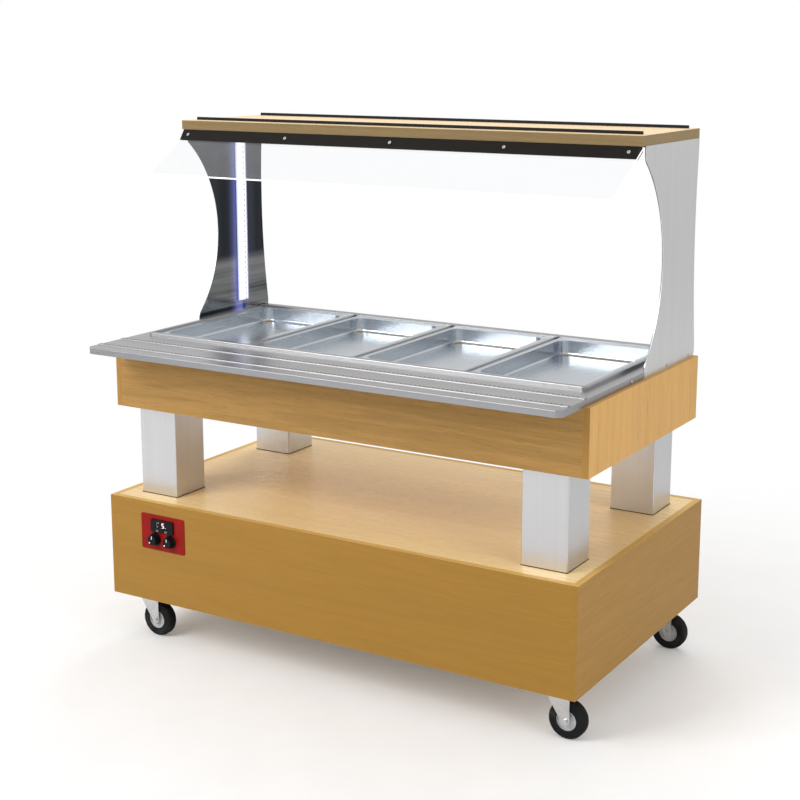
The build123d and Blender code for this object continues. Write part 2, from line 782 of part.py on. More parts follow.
# ---------------------------------------------------------------- control panel
plate_front = base_front - plate_thickness
with BuildPart() as control_plate:
    with BuildSketch(Plane.XZ.offset(-base_front)):
        with Locations((plate_middle, plate_top - plate_height / 2)):
            RectangleRounded(plate_width, plate_height, plate_corner)
        with Locations((plate_middle, bezel_middle)):
            Rectangle(case_width + 2 * flush_gap, case_height + 2 * flush_gap, mode=Mode.SUBTRACT)
        with Locations(*knob_places.values()):
            Circle(bush_radius + flush_gap, mode=Mode.SUBTRACT)
    extrude(amount=plate_thickness)
save(control_plate, "control_plate")

key_names = ("down", "up")
key_level = bezel_middle - bezel_height / 2 + 5
key_places = {
    name: (plate_middle + (number - 0.5) * 30, key_level) for number, name in enumerate(key_names)
}
key_pocket = 3.0
window_middle = bezel_middle + 4
with BuildPart() as thermostat_case:
    with BuildSketch(Plane.XZ.offset(-plate_front)):
        with Locations((plate_middle, bezel_middle)):
            RectangleRounded(bezel_width, bezel_height, 2.5)
    extrude(amount=bezel_thickness)
    with BuildSketch(Plane.XZ.offset(-plate_front)):
        with Locations((plate_middle, bezel_middle)):
            Rectangle(case_width, case_height)
    extrude(amount=-case_depth)
    bezel_front = plate_front - bezel_thickness
    with BuildSketch(Plane.XZ.offset(-bezel_front)):
        with Locations(*key_places.values()):
            RectangleRounded(key_width + 2 * flush_gap, key_height + 2 * flush_gap, 1.2)
    extrude(amount=-key_pocket, mode=Mode.SUBTRACT)
    with BuildSketch(Plane.XZ.offset(-bezel_front)):
        with Locations((plate_middle, window_middle)):
            Rectangle(window_width, window_height)
    extrude(amount=-1.0, mode=Mode.SUBTRACT)
save(thermostat_case, "thermostat_case")

with BuildPart() as display_window:
    with BuildSketch(Plane.XZ.offset(-bezel_front)):
        with Locations((plate_middle, window_middle)):
            Rectangle(window_width - 2 * flush_gap, window_height - 2 * flush_gap)
    extrude(amount=-1.0)
save(display_window, "display_window")

key_proud = 1.2
for name, place in key_places.items():
    with BuildPart() as key:
        with BuildSketch(Plane.XZ.offset(-bezel_front + key_proud)):
            with Locations(place):
                RectangleRounded(key_width, key_height, 1.0)
        extrude(amount=-(key_proud + key_pocket - key_travel - running_gap))
    save(key, f"key_{name}")

knob_back = plate_front - 1.0
skirt_height = 5.0
grip_radius = knob_radius - 4
for name, place in knob_places.items():
    with BuildPart() as knob:
        with BuildSketch(Plane.XZ.offset(-knob_back)):
            with Locations(place):
                Circle(knob_radius)
        extrude(amount=skirt_height, taper=20)
        with BuildSketch(Plane.XZ.offset(-knob_back + skirt_height)):
            with Locations(place):
                Circle(grip_radius)
                with PolarLocations(grip_radius + 2.5, 12):
                    Circle(3.6, mode=Mode.SUBTRACT)
        extrude(amount=knob_height - skirt_height, taper=3)
        with BuildSketch(Plane.XZ.offset(-knob_back)):
            with Locations(place):
                Circle(shaft_radius)
        extrude(amount=-(1.0 + plate_thickness + board + switch_depth / 2))
    save(knob, f"knob_{name}")

switch_front = base_front + board
with BuildPart() as switch_bodies:
    for place in knob_places.values():
        with BuildSketch(Plane.XZ.offset(-switch_front)):
            with Locations(place):
                Rectangle(switch_size, switch_size)
        extrude(amount=-switch_depth)
        with BuildSketch(Plane.XZ.offset(-switch_front)):
            with Locations(place):
                Circle(bush_radius)
        extrude(amount=board + plate_thickness)
        with BuildSketch(Plane.XZ.offset(-plate_front)):
            with Locations(place):
                Circle(shaft_radius + shaft_gap)
        extrude(amount=-(plate_thickness + board + switch_depth / 2 + 1), mode=Mode.SUBTRACT)
save(switch_bodies, "switch_bodies")

# ---------------------------------------------------------------- castors
with BuildPart() as castor_plates:
    for place in castor_places.values():
        with BuildSketch(Plane.XY.offset(castor_plate_bottom)):
            with Locations(place):
                RectangleRounded(castor_plate_length, castor_plate_width, 6)
                with GridLocations(castor_hole_pitch_x, castor_hole_pitch_y, 2, 2):
                    Circle(castor_hole_radius, mode=Mode.SUBTRACT)
        extrude(amount=castor_plate_thickness)
        for radius, low, high in (
            (race_radius, race_bottom, castor_plate_bottom),
            (kingpin_radius, kingpin_bottom, race_bottom),
            (kingpin_head_radius, kingpin_bottom, kingpin_bottom + kingpin_head),
        ):
            with BuildSketch(Plane.XY.offset(low)):
                with Locations(place):
                    Circle(radius)
            extrude(amount=high - low)
save(castor_plates, "castor_plates")

castor_screws = fasteners([(*p, castor_plate_bottom) for p in castor_screw_places], (0, 0, -1),
                          castor_screw_radius, castor_screw_length, 6, 3)
save(castor_screws, "castor_screws")

leg_inner = tyre_width / 2 + fork_gap
leg_outer = leg_inner + fork_sheet
leg_rear = 36.0
leg_front = -34.0
axle_boss = 11.0
axle_head = 6.7
axle_head_height = 4.0
pedal_pin_x = 29.0
pedal_pin_z = crown_bottom - 8
pedal_pin_radius = 2.5
for name, (stem_x, stem_y) in castor_places.items():
    wheel_x = stem_x + wheel_trail
    with BuildPart() as fork:
        for sign in (-1, 1):
            with BuildSketch(Plane.XZ.offset(-stem_y + sign * leg_inner)):
                with Locations((stem_x + (leg_front + leg_rear) / 2, crown_top - crown_thickness / 2)):
                    Rectangle(leg_rear - leg_front, crown_thickness)
                with Locations((wheel_x, wheel_radius)):
                    Circle(axle_boss)
                make_hull()
            extrude(amount=sign * fork_sheet)
        with BuildSketch(Plane.XY.offset(crown_bottom)):
            with Locations((stem_x + (leg_front + leg_rear) / 2, stem_y)):
                Rectangle(leg_rear - leg_front, 2 * leg_outer)
            with Locations((stem_x, stem_y)):
                Circle(crown_radius)
                Circle(kingpin_radius + shaft_gap, mode=Mode.SUBTRACT)
        extrude(amount=crown_thickness)
        with BuildSketch(Plane.XZ.offset(-stem_y - leg_outer)):
            with Locations((wheel_x, wheel_radius)):
                Circle(axle_radius)
        extrude(amount=2 * leg_outer)
        for sign in (-1, 1):
            with BuildSketch(Plane.XZ.offset(-stem_y + sign * leg_outer)):
                with Locations((wheel_x, wheel_radius)):
                    RegularPolygon(axle_head, 6)
            extrude(amount=sign * axle_head_height)
        if name in braked:
            with BuildSketch(Plane.XZ.offset(-stem_y - leg_outer)):
                with Locations((stem_x + pedal_pin_x, pedal_pin_z)):
                    Circle(pedal_pin_radius)
            extrude(amount=2 * leg_outer)
    save(fork, f"fork_{name}")

    hub_half = tyre_width / 2 - 2
    with BuildPart() as hub:
        with BuildSketch(Plane.XZ.offset(-stem_y - hub_half)):
            with Locations((wheel_x, wheel_radius)):
                Circle(hub_radius)
        extrude(amount=2 * hub_half)
        for sign in (-1, 1):
            with BuildSketch(Plane.XZ.offset(-stem_y + sign * hub_half)):
                with Locations((wheel_x, wheel_radius)):
                    Circle(hub_radius - 3)
                    Circle(axle_radius + 6, mode=Mode.SUBTRACT)
            extrude(amount=-sign * 3, mode=Mode.SUBTRACT)
            with BuildSketch(Plane.XZ.offset(-stem_y + sign * hub_half)):
                with Locations((wheel_x, wheel_radius)):
                    Circle(axle_radius + 6)
            extrude(amount=sign * (fork_gap + 2 - running_gap))
        with BuildSketch(Plane.XZ.offset(-stem_y - leg_inner)):
            with Locations((wheel_x, wheel_radius)):
                Circle(axle_radius + shaft_gap)
        extrude(amount=2 * leg_inner, mode=Mode.SUBTRACT)

    with BuildPart() as tyre:
        with BuildSketch(Plane.XZ.offset(-stem_y - tyre_width / 2)):
            with Locations((wheel_x, wheel_radius)):
                Circle(wheel_radius)
        extrude(amount=tyre_width)
        fillet(tyre.edges().filter_by(GeomType.CIRCLE), radius=9)
        with BuildSketch(Plane.XZ.offset(-stem_y - tyre_width / 2)):
            with Locations((wheel_x, wheel_radius)):
                Circle(hub_radius + flush_gap)
        extrude(amount=tyre_width, mode=Mode.SUBTRACT)
    save_group((hub, tyre), f"wheel_{name}")

for name in braked:
    stem_x, stem_y = castor_places[name]
    pin_x = stem_x + pedal_pin_x
    with BuildPart() as pedal:
        with BuildSketch(Plane.XZ.offset(-stem_y - 14)):
            with BuildLine():
                Polyline((pin_x - 5, pedal_pin_z + 4), (pin_x + 12, pedal_pin_z + 4),
                         (pin_x + 30, pedal_pin_z - 2), (pin_x + 58, pedal_pin_z - 6),
                         (pin_x + 60, pedal_pin_z - 11), (pin_x + 26, pedal_pin_z - 10),
                         (pin_x + 14, pedal_pin_z - 9), (pin_x + 4, pedal_pin_z - 5),
                         (pin_x - 5, pedal_pin_z - 5), close=True)
            make_face()
        extrude(amount=28)
        with BuildSketch(Plane.XZ.offset(-stem_y - 14)):
            with Locations((pin_x, pedal_pin_z)):
                Circle(pedal_pin_radius + shaft_gap)
        extrude(amount=28, mode=Mode.SUBTRACT)
    save(pedal, f"brake_pedal_{name}")

# ---------------------------------------------------------------- cooling unit in the base
floor_top = base_bottom + board
tray_top = floor_top + unit_tray
unit_left = -430.0
unit_right = 260.0
compressor_place = (-300.0, pipe_places[0][1] - 40)
unit_front = compressor_place[1] - 109
unit_back = base_back - board - 4
save(slab((unit_left, unit_right), (unit_front, unit_back), (floor_top, tray_top)), "unit_tray")

compressor_bottom = tray_top + grommet_height
suction_level = compressor_bottom + 90
suction_stub = 30.0
foot_places = around(compressor_place, 150, 110)
with BuildPart() as compressor:
    with BuildSketch(Plane.XY.offset(compressor_bottom)):
        with Locations(compressor_place):
            Rectangle(180, 140)
        with Locations(*foot_places):
            Circle(4, mode=Mode.SUBTRACT)
    extrude(amount=3)
    with BuildSketch(Plane.XY.offset(compressor_bottom)):
        with Locations(compressor_place):
            Circle(compressor_radius)
    extrude(amount=compressor_height)
    fillet(compressor.faces().sort_by(Axis.Z)[-1].edges(), radius=30)
    for sign in (-1, 1):
        with BuildSketch(Plane.YZ.offset(compressor_place[0])):
            with Locations((compressor_place[1], suction_level)):
                Circle(pipe_radius + 2)
        extrude(amount=sign * (compressor_radius + suction_stub))
save(compressor, "compressor")

with BuildPart() as compressor_grommets:
    with BuildSketch(Plane.XY.offset(tray_top)):
        with Locations(*foot_places):
            Circle(grommet_radius)
    extrude(amount=grommet_height)
save_group((post_gaskets, compressor_grommets), "rubber_pads")

condenser_back = unit_back - 12
condenser_front = condenser_back - condenser_depth
condenser_left = unit_middle - condenser_width / 2
fin_count = 24
fin_pitch = (condenser_width - 4) / fin_count
stub_levels = (condenser_bottom + 40, condenser_bottom + condenser_height - 40)
with BuildPart() as condenser:
    with BuildSketch(Plane.XY.offset(tray_top)):
        with Locations((unit_middle, (condenser_front + condenser_back) / 2)):
            Rectangle(condenser_width, condenser_depth)
    extrude(amount=condenser_bottom + condenser_height - tray_top)
    for number in range(fin_count):
        slot_middle = condenser_left + 2 + (number + 0.5) * fin_pitch
        for face, sign in ((condenser_front, 1), (condenser_back, -1)):
            with BuildSketch(Plane.XZ.offset(-face)):
                with Locations((slot_middle, condenser_middle)):
                    Rectangle(fin_pitch - 2, condenser_height - 16)
            extrude(amount=-sign * (condenser_depth / 2 - 3), mode=Mode.SUBTRACT)
    for level in stub_levels:
        with BuildSketch(Plane.YZ.offset(condenser_left)):
            with Locations(((condenser_front + condenser_back) / 2, level)):
                Circle(pipe_radius + 2)
        extrude(amount=-12)
save(condenser, "condenser")

shroud_back = condenser_front
shroud_front = shroud_back - shroud_depth
bore_radius = fan_radius + fan_bore_gap
with BuildPart() as fan_shroud:
    with BuildSketch(Plane.XZ.offset(-shroud_front)):
        with Locations((unit_middle, condenser_middle)):
            Rectangle(condenser_width, condenser_height)
    extrude(amount=-shroud_depth)
    with BuildSketch(Plane.XZ.offset(-(shroud_front + shroud_sheet))):
        with Locations((unit_middle, condenser_middle)):
            Rectangle(condenser_width - 2 * shroud_sheet, condenser_height - 2 * shroud_sheet)
    extrude(amount=-shroud_depth, mode=Mode.SUBTRACT)
    with BuildSketch(Plane.XZ.offset(-shroud_front)):
        with Locations((unit_middle, condenser_middle)):
            Circle(bore_radius)
    extrude(amount=-shroud_depth, mode=Mode.SUBTRACT)

motor_radius = 32.0
motor_length = 55.0
motor_back = shroud_front - 14
motor_front = motor_back - motor_length
fan_shaft_radius = 4.0
with BuildPart() as fan_motor:
    with BuildSketch(Plane.XZ.offset(-motor_back)):
        with Locations((unit_middle, condenser_middle)):
            Circle(motor_radius)
            Circle(fan_shaft_radius + shaft_gap, mode=Mode.SUBTRACT)
    extrude(amount=motor_length)
    with BuildSketch(Plane.XZ.offset(-(motor_front + 20))):
        with Locations((unit_middle, condenser_middle - (condenser_middle - tray_top) / 2 - 12)):
            Rectangle(40, condenser_middle - tray_top - 24)
    extrude(amount=-4)
    with BuildSketch(Plane.XY.offset(tray_top)):
        with Locations((unit_middle, motor_front + 22)):
            Rectangle(60, 40)
    extrude(amount=3)
save_group((fan_motor, fan_shroud), "fan_motor")

blade_depth = 18.0
blade_pitch = 35.0
with BuildPart() as fan_blades:
    with BuildSketch(Plane.XZ.offset(-(shroud_front + 3))):
        with Locations((unit_middle, condenser_middle)):
            Circle(fan_hub_radius)
    extrude(amount=-blade_depth)
    for number in range(5):
        angle = 360 / 5 * number
        out = (cos(radians(angle)), sin(radians(angle)))
        pitched = (-out[1] * sin(radians(blade_pitch)), cos(radians(blade_pitch)),
                   out[0] * sin(radians(blade_pitch)))
        root = (unit_middle, shroud_front + 3 + blade_depth / 2, condenser_middle)
        with BuildSketch(Plane(origin=root, x_dir=pitched, z_dir=(out[0], 0, out[1]))):
            Rectangle(blade_depth * 1.4, 2)
        extrude(amount=fan_radius - 3)
    with BuildSketch(Plane.XZ.offset(-(motor_back - 40))):
        with Locations((unit_middle, condenser_middle)):
            Circle(fan_shaft_radius)
    extrude(amount=-(shroud_front + 3 - motor_back + 40 + blade_depth / 2))
save(fan_blades, "fan_blades")

suction_end = (compressor_place[0] - compressor_radius - suction_stub, compressor_place[1], suction_level)
discharge_start = (compressor_place[0] + compressor_radius + suction_stub, compressor_place[1],
                   suction_level)
coil_drop = foam_pocket - 30
condenser_line_y = (condenser_front + condenser_back) / 2
discharge_turn = discharge_start[0] + 30
line_routes = (
    [(*pipe_places[0], coil_drop), (*pipe_places[0], suction_level),
     (pipe_places[0][0], compressor_place[1], suction_level), suction_end],
    [(*pipe_places[1], coil_drop), (*pipe_places[1], stub_levels[0]),
     (pipe_places[1][0], condenser_line_y, stub_levels[0]),
     (condenser_left - 12, condenser_line_y, stub_levels[0])],
    [discharge_start, (discharge_turn, compressor_place[1], suction_level),
     (discharge_turn, compressor_place[1], stub_levels[1]),
     (discharge_turn, condenser_line_y, stub_levels[1]),
     (condenser_left - 12, condenser_line_y, stub_levels[1])],
)
save_group([tube_run(route, pipe_radius, 12) for route in line_routes], "refrigerant_lines")

# ---------------------------------------------------------------- drain, inlet and light supply
valve_top = base_bottom - 2
valve_height = 30.0
valve_radius = 14.0
hose_tail = 18.0
lever_level = valve_top - valve_height / 2
with BuildPart() as drain_pipe:
    with BuildSketch(Plane.XY.offset(valve_top - valve_height)):
        with Locations(drain_place):
            Circle(valve_radius)
    extrude(amount=valve_height)
    with BuildSketch(Plane.XY.offset(valve_top)):
        with Locations(drain_place):
            Circle(drain_radius)
    extrude(amount=well_floor - well_sheet - valve_top)
    with BuildSketch(Plane.XY.offset(valve_top - valve_height)):
        with Locations(drain_place):
            Circle(drain_radius)
    extrude(amount=-hose_tail)
    with BuildSketch(Plane.XY.offset(valve_top - valve_height - hose_tail)):
        with Locations(drain_place):
            Circle(drain_bore)
    extrude(amount=well_floor - valve_top + valve_height + hose_tail, mode=Mode.SUBTRACT)
    drill([(drain_place[0], drain_place[1] + valve_radius, lever_level)], (0, 1, 0),
          shaft_radius + shaft_gap, valve_radius - drain_bore + 4)
save(drain_pipe, "drain_pipe")
lever_back = drain_place[1] + valve_radius + running_gap
with BuildPart() as drain_lever:
    with BuildSketch(Plane.XZ.offset(-(lever_back + 3))):
        with Locations((drain_place[0] - 22, lever_level)):
            SlotOverall(62, 12)
    extrude(amount=3)
    with BuildSketch(Plane.XZ.offset(-lever_back)):
        with Locations((drain_place[0], lever_level)):
            Circle(shaft_radius)
    extrude(amount=valve_radius - drain_bore)
save(drain_lever, "drain_lever")

inlet_depth = 30.0
socket_depth = 16.0
with BuildPart() as mains_inlet:
    with BuildSketch(Plane.XZ.offset(-base_back)):
        with Locations(inlet_place):
            Rectangle(inlet_width - 2 * flush_gap, inlet_height - 2 * flush_gap)
    extrude(amount=inlet_depth)
    with BuildSketch(Plane.XZ.offset(-(base_back - board))):
        with Locations(inlet_place):
            Rectangle(inlet_width + 12, inlet_height + 8)
    extrude(amount=3)
    with BuildSketch(Plane.XZ.offset(-base_back)):
        with Locations(inlet_place):
            Rectangle(inlet_width - 5, inlet_height - 5)
    extrude(amount=socket_depth, mode=Mode.SUBTRACT)
save(mains_inlet, "mains_inlet")

supply_left = plate_left
save(slab((supply_left, supply_left + 150), (base_front + board + 70, base_front + board + 130),
          (floor_top, floor_top + 35)), "light_supply")
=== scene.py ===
from math import atan2, cos, pi, radians, sin

import bpy
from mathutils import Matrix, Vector


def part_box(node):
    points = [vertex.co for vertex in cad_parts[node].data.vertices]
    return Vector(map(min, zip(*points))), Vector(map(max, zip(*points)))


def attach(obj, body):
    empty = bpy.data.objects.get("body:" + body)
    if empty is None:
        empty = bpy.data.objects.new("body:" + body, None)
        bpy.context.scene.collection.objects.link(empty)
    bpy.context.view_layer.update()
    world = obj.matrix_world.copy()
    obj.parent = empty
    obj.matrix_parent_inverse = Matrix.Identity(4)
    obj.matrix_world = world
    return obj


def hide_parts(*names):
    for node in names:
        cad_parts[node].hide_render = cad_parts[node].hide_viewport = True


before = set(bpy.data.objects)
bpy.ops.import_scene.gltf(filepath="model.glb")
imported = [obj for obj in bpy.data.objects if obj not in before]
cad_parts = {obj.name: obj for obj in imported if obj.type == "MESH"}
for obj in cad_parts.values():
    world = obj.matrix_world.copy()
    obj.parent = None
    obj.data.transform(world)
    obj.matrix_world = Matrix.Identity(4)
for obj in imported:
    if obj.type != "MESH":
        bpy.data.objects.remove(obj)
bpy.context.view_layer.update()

bl_info = {
    "name": "Refrigerated buffet trolley",
    "version": (1, 0, 0),
    "blender": (4, 5, 0),
    "location": "View3D > Sidebar > Trolley",
    "description": "Finishes and detailed pieces for a refrigerated buffet trolley",
    "category": "Object",
}

MM = 0.001
CORNERS = ("front_left", "front_right", "back_left", "back_right")

RIB_SETBACKS = (52 * MM, 143 * MM)      # front ribs of the tray slide, behind its front edge
RIB_END = 22 * MM
DIMPLE_LENGTH = 7 * MM
DIMPLE_WIDTH = 3.4 * MM
DIMPLE_SINK = 1.2 * MM
DIMPLE_RISE = 0.25 * MM
RECESS_REACH = 2.4 * MM
RECESS_WIDTH = 0.5 * MM
DIGIT_WIDTH = 6.6 * MM
DIGIT_HEIGHT = 12 * MM
DIGIT_LINE = 1.7 * MM
POINTER_WIDTH = 1.8 * MM
POINTER_START = 3 * MM                  # ends of a knob's pointer, from the knob's middle
POINTER_END = 12 * MM
DOT_REACH = 7.5 * MM
DOT_RADIUS = 2.0 * MM
MARKS = ((-16, 5, 1.2), (-11, 6, 3.0), (-16, -1, 1.2), (-14, -6, 2.4), (14, -6, 2.4))   # mm: x, z, length
MARK_HALF = 0.6
WELL_REFLECTION_LEVEL = 1.045                    # height under which a painted reflection of the well lies on the side panels
GLOW_NEAR = 24 * MM                     # reach of the glow painted on each panel round its light strip
GLOW_FAR = 74 * MM

GUARD_ANGLE = radians(31.6)
GUARD_THICKNESS = 5 * MM
GUARD_CORNER = 20 * MM
PROFILE_DROP = 29 * MM
PROFILE_STEP = 20 * MM
GUARD_SCREW_PITCH = 340 * MM
SCREW_RISE = 2.5 * MM

HUB_RADIUS = 27 * MM
AXLE_RADIUS = 4.05 * MM
SHOULDER = 9 * MM
TYRE_WIDTH = 32 * MM
GROOVE_INNER = 3.0 * MM                 # edges of the tyre's grooves, from its middle
GROOVE_OUTER = 4.6 * MM
WALL_STEP = 0.6 * MM

LAMPS = (                               # name, place, size, power, shown in reflections
    ("key", (-2.2, -4.0, 3.6), 2.8, 165, True),
    ("fill", (4.4, -1.0, 2.2), 2.6, 62, False),
    ("back", (-0.6, 3.4, 3.2), 2.6, 60, False),
)
LAMP_TARGET = Vector((0, 0, 0.7))
CAMERA_PLACE = (2.1413, -3.4959, 1.6831)
CAMERA_PITCH = 0.2018                   # radians below the horizon
CAMERA_TURN = 0.5448
CAMERA_LENS = 68.79
CAMERA_SHIFT = (-0.0042, -0.0586)


# ---------------------------------------------------------------- settings
class TrolleyFinishes(bpy.types.PropertyGroup):
    """Colours of the trolley's surfaces"""
    apron_oak: bpy.props.FloatVectorProperty(
        name="Apron oak", description="Light oak of the upper cabinet", subtype="COLOR", size=3,
        default=(0.43, 0.245, 0.078), min=0, max=1)
    base_oak: bpy.props.FloatVectorProperty(
        name="Base oak", description="Golden oak of the base cabinet", subtype="COLOR", size=3,
        default=(0.355, 0.188, 0.037), min=0, max=1)
    # partly the oak's own colour, partly painted light: the shelf oak is pushed near white to lift the
    # lower shelf out of the shade under the upper cabinet and to stand in for its sheen
    shelf_oak: bpy.props.FloatVectorProperty(
        name="Shelf oak", description="Semi-gloss oak of both shelves", subtype="COLOR", size=3,
        default=(0.99, 0.69, 0.33), min=0, max=1)
    steel: bpy.props.FloatVectorProperty(
        name="Steel", description="Brushed stainless sheet", subtype="COLOR", size=3,
        default=(0.55, 0.55, 0.56), min=0, max=1)
    panel_red: bpy.props.FloatVectorProperty(
        name="Panel red", description="Paint of the control plate", subtype="COLOR", size=3,
        default=(0.27, 0.005, 0.003), min=0, max=1)
    light: bpy.props.FloatVectorProperty(
        name="Light", description="Colour of the light strips", subtype="COLOR", size=3,
        default=(0.80, 0.88, 1.0), min=0, max=1)


class TrolleyDetails(bpy.types.PropertyGroup):
    """Sizes of the modelled details"""
    dimple_pitch: bpy.props.FloatProperty(
        name="Dimple pitch", description="Distance between dimples of the tray slide's ribs",
        default=13 * MM, min=8 * MM, max=60 * MM, subtype="DISTANCE", unit="LENGTH")
    tyre_groove: bpy.props.FloatProperty(
        name="Tyre groove", description="Depth of the grooves round each tyre",
        default=1.2 * MM, min=0, max=3 * MM, subtype="DISTANCE", unit="LENGTH")
    diode_pitch: bpy.props.FloatProperty(
        name="Diode pitch", description="Distance between light diodes along a strip",
        default=16 * MM, min=6 * MM, max=40 * MM, subtype="DISTANCE", unit="LENGTH")
    light_strength: bpy.props.FloatProperty(
        name="Light strength", description="Brightness of the light strips", default=1.15, min=0, max=20)


# ---------------------------------------------------------------- material helpers
def fresh_material(name, **sockets):
    """A new material and its shader, with constants set on the shader's own sockets."""
    material = bpy.data.materials.new(name)
    material.use_nodes = True
    tree = material.node_tree
    shader = tree.nodes["Principled BSDF"]
    for socket, value in sockets.items():
        shader.inputs[socket.replace("_", " ")].default_value = value
    return material, tree, shader


def add_node(tree, kind, settings=None, **sockets):
    """Adds a shader node; a socket's value is a constant or another node's output."""
    node = tree.nodes.new(kind)
    for key, value in (settings or {}).items():
        setattr(node, key, value)
    for key, value in sockets.items():
        socket = node.inputs[int(key[1:])] if key[0] == "i" and key[1:].isdigit() else node.inputs[
            key.replace("_", " ")]
        if isinstance(value, bpy.types.NodeSocket):
            tree.links.new(value, socket)
        else:
            socket.default_value = value
    return node


def object_coordinates(tree, scale=(1, 1, 1), place=(0, 0, 0)):
    """Object coordinates, placed and scaled."""
    coordinates = add_node(tree, "ShaderNodeTexCoord")
    return add_node(tree, "ShaderNodeMapping", Vector=coordinates.outputs["Object"], Scale=scale,
                    Location=place).outputs["Vector"]


def noise(tree, vector, scale, detail=4.0, roughness=0.55, distortion=0.0):
    """A noise pattern's value."""
    return add_node(tree, "ShaderNodeTexNoise", Vector=vector, Scale=scale, Detail=detail,
                    Roughness=roughness, Distortion=distortion).outputs["Fac"]


def ramp(tree, factor, *stops):
    """A colour ramp with a stop for each (position, colour)."""
    node = add_node(tree, "ShaderNodeValToRGB", Fac=factor)
    elements = node.color_ramp.elements
    while len(elements) < len(stops):
        elements.new(0.5)
    for element, (position, colour) in zip(elements, stops):
        element.position = position
        element.color = (*colour, 1)
    return node.outputs["Color"]


def arithmetic(tree, operation, first, second=0.5, clamp=False):
    """One step of arithmetic between two values."""
    return add_node(tree, "ShaderNodeMath", {"operation": operation, "use_clamp": clamp},
                    i0=first, i1=second).outputs[0]


def map_range(tree, value, low, high, new_low, new_high):
    """A value carried from one range to another."""
    return add_node(tree, "ShaderNodeMapRange", Value=value, From_Min=low, From_Max=high,
                    To_Min=new_low, To_Max=new_high).outputs["Result"]


def mix_colour(tree, factor, first, second, blend="MIX"):
    """Two colours mixed."""
    node = add_node(tree, "ShaderNodeMix", {"data_type": "RGBA", "blend_type": blend})
    for socket, value in ((node.inputs[0], factor), (node.inputs[6], first), (node.inputs[7], second)):
        if isinstance(value, bpy.types.NodeSocket):
            tree.links.new(value, socket)
        else:
            socket.default_value = value if isinstance(value, float) else (*value, 1)
    return node.outputs[2]


def set_bump(tree, shader, height, strength, distance):
    """Gives the shader a bumped normal."""
    bump = add_node(tree, "ShaderNodeBump", Height=height, Strength=strength, Distance=distance)
    tree.links.new(bump.outputs["Normal"], shader.inputs["Normal"])


def facing(tree, axis, low=0.6, high=0.85):
    """How squarely a surface faces along an axis, in the object's own frame."""
    normal = add_node(tree, "ShaderNodeTexCoord").outputs["Normal"]
    part = add_node(tree, "ShaderNodeSeparateXYZ", Vector=normal).outputs[axis]
    return map_range(tree, arithmetic(tree, "ABSOLUTE", part), low, high, 0.0, 1.0)


def shade(colour, factor):
    """A colour made darker or lighter."""
    return tuple(min(1.0, channel * factor) for channel in colour)


# ---------------------------------------------------------------- materials
def oak(name, colour, along, contrast=0.5, roughness=0.38, gloss=0.25, seed=0.0, top=None, front=None):
    """Oak laminate whose grain runs along one axis: soft bands, fine fibres and short dark pores.

    The faces that look up or to the guests may be made lighter or darker by factors, as painted light and
    shade."""
    material, tree, shader = fresh_material(name, Specular_IOR_Level=gloss,
                                            Specular_Tint=(1.0, 0.80, 0.52, 1.0))
    slow, fast = 0.30, 7.0
    stretch = tuple(slow if axis == along else fast for axis in "XYZ")
    place = (seed, seed * 1.7, seed * 0.6)
    bands_at = object_coordinates(tree, stretch, place=place)
    fibres_at = object_coordinates(tree, tuple(9 * s for s in stretch), place=place)
    pores_at = object_coordinates(tree, tuple(30 * s for s in stretch), place=place)
    wander = noise(tree, bands_at, 0.5, 3)
    figure = noise(tree, bands_at, 1.3, 4, 0.5, 0.5)
    fibres = noise(tree, fibres_at, 3.6, 6, 0.72)
    pores = noise(tree, pores_at, 3.2, 2, 0.5)
    rings = arithmetic(tree, "SINE", arithmetic(tree, "MULTIPLY", figure, 75.0))
    rings = map_range(tree, rings, -1, 1, 0, 1)
    ringed = ramp(tree, rings, (0.0, shade(colour, 1 - 0.20 * contrast)), (0.6, colour),
                  (1.0, shade(colour, 1 + 0.12 * contrast)))
    fibred = mix_colour(tree, map_range(tree, fibres, 0.40, 0.64, 0.0, 0.65 * contrast), ringed,
                        shade(colour, 0.60))
    shaded = mix_colour(tree, map_range(tree, wander, 0.35, 0.65, 0.0, 0.28), fibred,
                        shade(colour, 1.16))
    holes = map_range(tree, pores, 0.60, 0.70, 0.0, 0.75 * contrast)
    finished = mix_colour(tree, holes, shaded, shade(colour, 0.34))
    # painted light and shade: faces that look up (Z) or front and back (Y) are multiplied by the given
    # factors
    for axis, factor in (("Z", top), ("Y", front)):
        if factor:
            finished = mix_colour(tree, facing(tree, axis), finished,
                                  mix_colour(tree, 1.0, finished, factor, "MULTIPLY"))
    tree.links.new(finished, shader.inputs["Base Color"])
    tree.links.new(map_range(tree, fibres, 0.3, 0.7, roughness - 0.05, roughness + 0.1),
                   shader.inputs["Roughness"])
    set_bump(tree, shader, arithmetic(tree, "SUBTRACT", fibres, holes), 0.12, 0.0006)
    return material


def plywood(name):
    """Bare plywood for boards that only show from below or inside."""
    return oak(name, (0.50, 0.36, 0.20), "X", 0.55, 0.6, seed=9.0)


